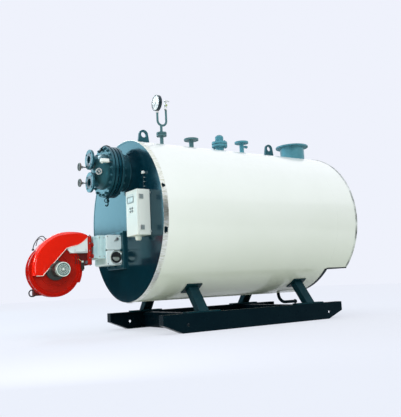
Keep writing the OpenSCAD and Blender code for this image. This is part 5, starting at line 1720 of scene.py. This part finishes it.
def buildShell():
    for name, look, width in (("front_plate", "teal", 2.0), ("shell_cladding", "cream", 0.8),
                              ("drum_end", "drum", 1.0),
                              ("smokebox_cladding", "cream", 0.8), ("smokebox_floor", "black", 1.5),
                              ("smokebox_rear_plate", "cream", 1.5), ("rear_trim", "rearBandPaintedReflection", 1.0)):
        softened(name, look, width)
    trimLow, trimHigh = span("front_trim")
    band = turned([(trimLow.x + 0.6, shellRadius + 0.2), (trimLow.x + 2, shellRadius + 2),
                   (trimHigh.x - 2, shellRadius + 2), (trimHigh.x, shellRadius + 1),
                   (trimHigh.x, shellRadius), (trimLow.x + 2, shellRadius)], closed=True, steps=240)
    makePiece("frontBand", band, "trim", replaces=("front_trim",))
    lip = turned([(trimLow.x, shellRadius - 15), (trimLow.x, shellRadius - 0.4),
                  (trimLow.x + 1.2, shellRadius + 0.1), (trimLow.x + 2.2, shellRadius - 0.4),
                  (trimLow.x + 2.2, shellRadius - 15)],
                 closed=True, steps=240)
    makePiece("frontLip", lip, "teal")
    rivets = {"Count": 48, "Ring Width": 2 * shellRadius + 2.4, "Head Width": 6.0, "Head Height": 0.7}
    makePiece("bandRivets", moved(grown(rivetBand, "steel", rivets), (trimHigh.x - 8, 0, 0), alongX),
              "steel")
    clasp = softBox((trimLow.x + 6, -24, -shellRadius - 7), (trimHigh.x - 6, 24, -shellRadius + 1), 2)
    makePiece("bandClasp", clasp, "steel")
    locks = []
    for turn, wide in ((-73, 24), (-102, 44)):
        lock = joined(softBox((trimLow.x + 8, -wide / 2, shellRadius + 1),
                              (trimHigh.x - 8, wide / 2, shellRadius + 5), 1.5),
                      softBox((trimLow.x + 14, -wide / 2 - 6, shellRadius + 1),
                              (trimLow.x + 24, wide / 2 + 6, shellRadius + 7), 1.5))
        locks.append(moved(lock, turn=(-turn, 0, 0)))
    makePiece("bandLocks", joined(*locks), "black")
    collars = []
    for x, radius in crown["collars"]:
        collars.append(uprightTurned([(shellRadius - 3, radius + 1), (shellRadius + 2, radius + 1),
                                      (shellRadius + 3, radius + 3), (shellRadius + 1.5, radius + 14),
                                      (shellRadius - 3, radius + 15)], x, 0, closed=True, steps=64))
    makePiece("pipeCollars", joined(*collars), "creamTrim")
    weld = grown(weldRun, "tealTopPaintedLight", {"Bead Width": seams["bead"], "Ripple Pitch": seams["pitch"]},
                 path=saddlePath(*crown["flue"]), loop=True)
    makePiece("flueWeld", weld, "tealTopPaintedLight")
    # the sheet's lap along the lowest line
    lap = turned([(trimHigh.x, shellRadius - 1), (trimHigh.x, shellRadius + 1.2),
                  (shellHigh.x - 3, shellRadius + 1.2), (shellHigh.x - 3, shellRadius - 1)],
                 closed=True, steps=4, arc=(184, 188))
    makePiece("sheetLap", lap, "cream")


def buildSmokebox():
    floorLow, floorHigh = span("smokebox_floor")
    boxHigh = span("smokebox_cladding")[1]
    cut = math.degrees(math.acos(floorLow.z / shellRadius))
    edge = turned([(shellHigh.x - 26, shellRadius - 7), (shellHigh.x - 26, shellRadius + 0.8),
                   (shellHigh.x + 14, shellRadius + 0.8), (shellHigh.x + 14, shellRadius - 7)],
                  closed=True, steps=48, arc=(cut, 360 - cut))
    half = math.sqrt(shellRadius ** 2 - floorLow.z ** 2)
    under, over = floorLow.z - 3, floorLow.z + 11
    bars = [softBox((shellHigh.x - 4, side * half - 7, under), (boxHigh.x, side * half + 7, over), 1.5)
            for side in (-1, 1)]
    bars.append(softBox((boxHigh.x - 8, -half, under), (boxHigh.x + 1.5, half, over), 1.5))
    makePiece("smokeboxEdging", joined(edge, *bars), "black")
    low, high = span("smokebox_cover")
    radius = (high.y - low.y) / 2
    z = (high.z + low.z) / 2
    y = (high.y + low.y) / 2
    sheet = turned([(low.x, 0.0), (low.x, radius), (low.x + 6, radius), (low.x + 7, radius - 1),
                    (low.x + 7, radius - 60), (low.x + 12, radius - 66), (low.x + 12, radius - 72),
                    (low.x + 7, radius - 78), (low.x + 7, 0.0)], steps=120)
    makePiece("rearCover", moved(sheet, (0, y, z)), "tealCast", replaces=("smokebox_cover",))
    bolts = grown(boltRing, "steel", {"Count": 20, "Ring Width": 2 * radius - 56, "Head Width": 24.0,
                                      "Head Height": 6.0, "Washer Height": 1.6, "Stud Width": 12.0,
                                      "Stud Height": 8.0})
    makePiece("rearCoverBolts", moved(bolts, (low.x + 7, y, z), alongX), "tealCast")
    handles = []
    for side in (-1, 1):
        handles.append(softBox((low.x + 12, y + side * 170 - 7, z - 80), (high.x - 0.5, y + side * 170 + 7,
                                                                      z + 80), 1.5))
        for end in (-1, 1):
            handles.append(softBox((low.x + 6, y + side * 170 - 9, z + end * 70 - 12),
                                   (high.x - 1, y + side * 170 + 9, z + end * 70 + 12), 1.5))
    makePiece("rearCoverHandles", joined(*handles), "black")
    # screws round the rear plate, clear of the cover
    rearHigh = span("smokebox_rear_plate")[1]
    heads = []
    for turn in range(-120, 121, 15):
        angle = math.radians(turn)
        reach = shellRadius - 22
        if reach * math.cos(angle) > floorHigh.z + 30:
            heads.append(moved(grown(boltRow, "steel", {
                "Count": 1, "Head Width": 14.0, "Head Height": 4.0, "Washer Height": 1.0, "Stud Width": 6.0,
                "Stud Height": 4.5, "Seed": turn + 300}), (rearHigh.x, reach * math.sin(angle),
                                                           reach * math.cos(angle)), alongX))
    makePiece("rearPlateBolts", joined(*heads), "steel")


# fittings on the exchanger and the plate
def buildExchangerFittings():
    low, high = span("flow_switch")
    stem = high.x - 32
    z0 = high.z - 38
    boxPart = joined(softBox((low.x + 10, low.y, z0), (stem + 12, high.y, high.z - 4), 5, 3),
                     softBox((low.x + 16, low.y - 1.5, z0 + 5), (stem + 6, low.y + 2, high.z - 9), 1.5),
                     softBox((low.x + 18, low.y + 8, low.z), (low.x + 32, high.y - 8, z0 + 3), 3))
    makePiece("flowSwitch", boxPart, "switchWhite", replaces=("flow_switch",))
    neck = turned([(stem - 2, 0.0), (stem - 2, 9.0), (high.x + 1, 9.0), (high.x + 1, 0.0)], steps=24)
    nut = turned([(high.x - 12, 0.0), (high.x - 12, 15.0), (high.x, 15.0), (high.x, 0.0)], steps=6)
    y = (low.y + high.y) / 2
    makePiece("flowSwitchStem", moved(joined(neck, nut), (0, y, z0 + 17)), "nickel")
    # a strap lies over the rings, with a lifting hole at its top; its black paint also stands for painted
    # shade along the rings' upper edge
    low, high = span("head_eye")
    strap = [(-118, 692), (-141, 703), (-167, 709), (-197, 701), (-221, 680), (-235, 650),
             (-223, 642), (-209, 665), (-189, 679), (-167, 682), (-143, 679), (-121, 672)]
    bar = softPrism(strap, low.y - 8, high.y + 8, 3)
    hole = acrossTurned([(low.y - 20, 0.0), (low.y - 20, 7.0), (high.y + 20, 7.0), (high.y + 20, 0.0)],
                        -158, 695, steps=24)
    makePiece("headStrap", drilled(bar, [hole]), "black", replaces=("head_eye",))
    # the screwed plug's bright ring
    ring = joined(turned(ringBar(20, 30, 148, 156), closed=True, steps=40),
                  moved(softBox((150, -19, -3), (155, 19, 3), 1), turn=(45, 0, 0)),
                  moved(softBox((150, -19, -3), (155, 19, 3), 1), turn=(-45, 0, 0)))
    makePiece("plugRing", moved(ring, (-208, 0, 430), (0, 0, -126)), "nickel")
    # the drain cock under the channel
    x = -165
    cock = joined(
        uprightTurned([(222, 0.0), (222, 12.0), (206, 12.0), (203, 9.0), (196, 9.0), (192, 14.0), (176, 14.0),
                       (172, 8.0), (150, 8.0), (150, 0.0)], x, 0, steps=28),
        uprightTurned([(216, 0.0), (216, 15.0), (206, 15.0), (206, 0.0)], x, 0, steps=6))
    makePiece("drainCock", cock, "tealCast")
    handle = smoothPath([(x - 2, -14, 184), (x - 14, -24, 196), (x - 32, -26, 200), (x - 42, -24, 184),
                         (x - 32, -22, 168), (x - 12, -22, 172)], 8, loop=True)
    makePiece("drainHandle", tube(handle + handle[:1], 3.6, 10), "black")
    tail = smoothPath([(x, 0, 156), (x - 4, -4, 142), (x - 18, -8, 136), (x - 30, -10, 146)], 8)
    makePiece("drainTail", tube(tail, 6.5, 14), "tealCast")
    ring = circlePath((-1, 0, 454), 168, 96)
    weld = grown(weldRun, "tealCast", {"Bead Width": 11.0, "Ripple Pitch": 4.0}, path=ring, loop=True)
    makePiece("exchangerWeld", weld, "tealCast")
    for name in ("water_outlet", "water_inlet"):
        low, high = span(name)
        z = (low.z + high.z) / 2
        weld = grown(weldRun, "tealCast", {"Bead Width": 7.0, "Ripple Pitch": 3.0},
                     path=circlePath((low.x + 21, 0, z), 39, 64), loop=True)
        makePiece(name + "Weld", weld, "tealCast")


sensor = {"y": -430, "z": 381, "width": 32, "height": 24, "conduit": 3.6}


def buildSensor():
    low, high = span("plate_sensor")
    y, z, width, height = (sensor[k] for k in ("y", "z", "width", "height"))
    body = joined(softBox((low.x, y - width / 2, z - height / 2),
                          (low.x + 14, y + width / 2, z + height / 2), 3, 3),
                  moved(turned(knob(0, 9, 1.0, -14), steps=24), (high.x, y, z)))
    makePiece("plateSensor", body, "switchWhite", replaces=("plate_sensor",))
    x = (low.x + high.x) / 2
    route = [(x, y, z - 8), (x, y, (z + low.z) / 2 + 20), (x, y, low.z)]
    makePiece("sensorConduit", tube(route, sensor["conduit"], 12), "gaugeCase")
    clips = [softBox((x - 2, y - 7, cz - 3), (high.x, y + 7, cz + 3), 1.2)
             for cz in (low.z + 40, (z + low.z) / 2, z - 44)]
    makePiece("conduitClips", joined(*clips), "hingeGrey")


# legs, pads, skid and drain
foot = {"legX": (462, 1728), "legY": 537.5, "legLength": 100, "legWidth": 60, "plate": 13,
        "towX": (294, 1974), "towRise": 70}


def buildFeet():
    for name, look, width in (("legs", "legPaint", 2.5), ("leg_plates", "legPaint", 2.0),
                              ("skid_beams", "black", 3.0), ("cross_members", "black", 2.5),
                              ("drain_pipe", "black", 1.5)):
        softened(name, look, width)
    beamTop = span("leg_plates")[0].z
    beamSide = span("skid_beams")[1].y
    welds = []
    for x in foot["legX"]:
        for side in (-1, 1):
            for edge in (-foot["legWidth"] / 2, foot["legWidth"] / 2):
                y = side * (foot["legY"] + edge)
                path = [(x - foot["legLength"] / 2 + 4 * i, y, beamTop + foot["plate"]) for i in range(26)]
                welds.append(grown(weldRun, "legPaint", {"Bead Width": 8.0, "Ripple Pitch": 3.4}, path=path))
    makePiece("footWelds", joined(*welds), "legPaint")
    rings = []
    for x, side in [(x, side) for x in foot["towX"] for side in (-1, 1)]:
        outer = side * (beamSide - 1.0)
        inner = outer - side * 12
        rings.append(acrossTurned(ringBar(13, 22, min(outer, inner), max(outer, inner)),
                                  x, ground + foot["towRise"], closed=True, steps=40))
    makePiece("towRings", joined(*rings), "black")
    low, high = span("drain_pipe")
    z = low.z + 17
    cap = turned([(high.x - 26, 0.0), (high.x - 26, 23.0), (high.x - 4, 23.0), (high.x, 19.0),
                  (high.x, 0.0)], steps=6)
    makePiece("drainCap", moved(cap, (0, 0, z)), "black")


buildExchanger()
buildWaterFlanges()
buildExchangerFittings()
buildControlBox()
buildSensor()
buildGauge()
buildThermometers()
buildGaugeValve()
buildCrownFittings()
buildShell()
buildSmokebox()
buildFeet()
print("fittings ready")


print("pieces ready")
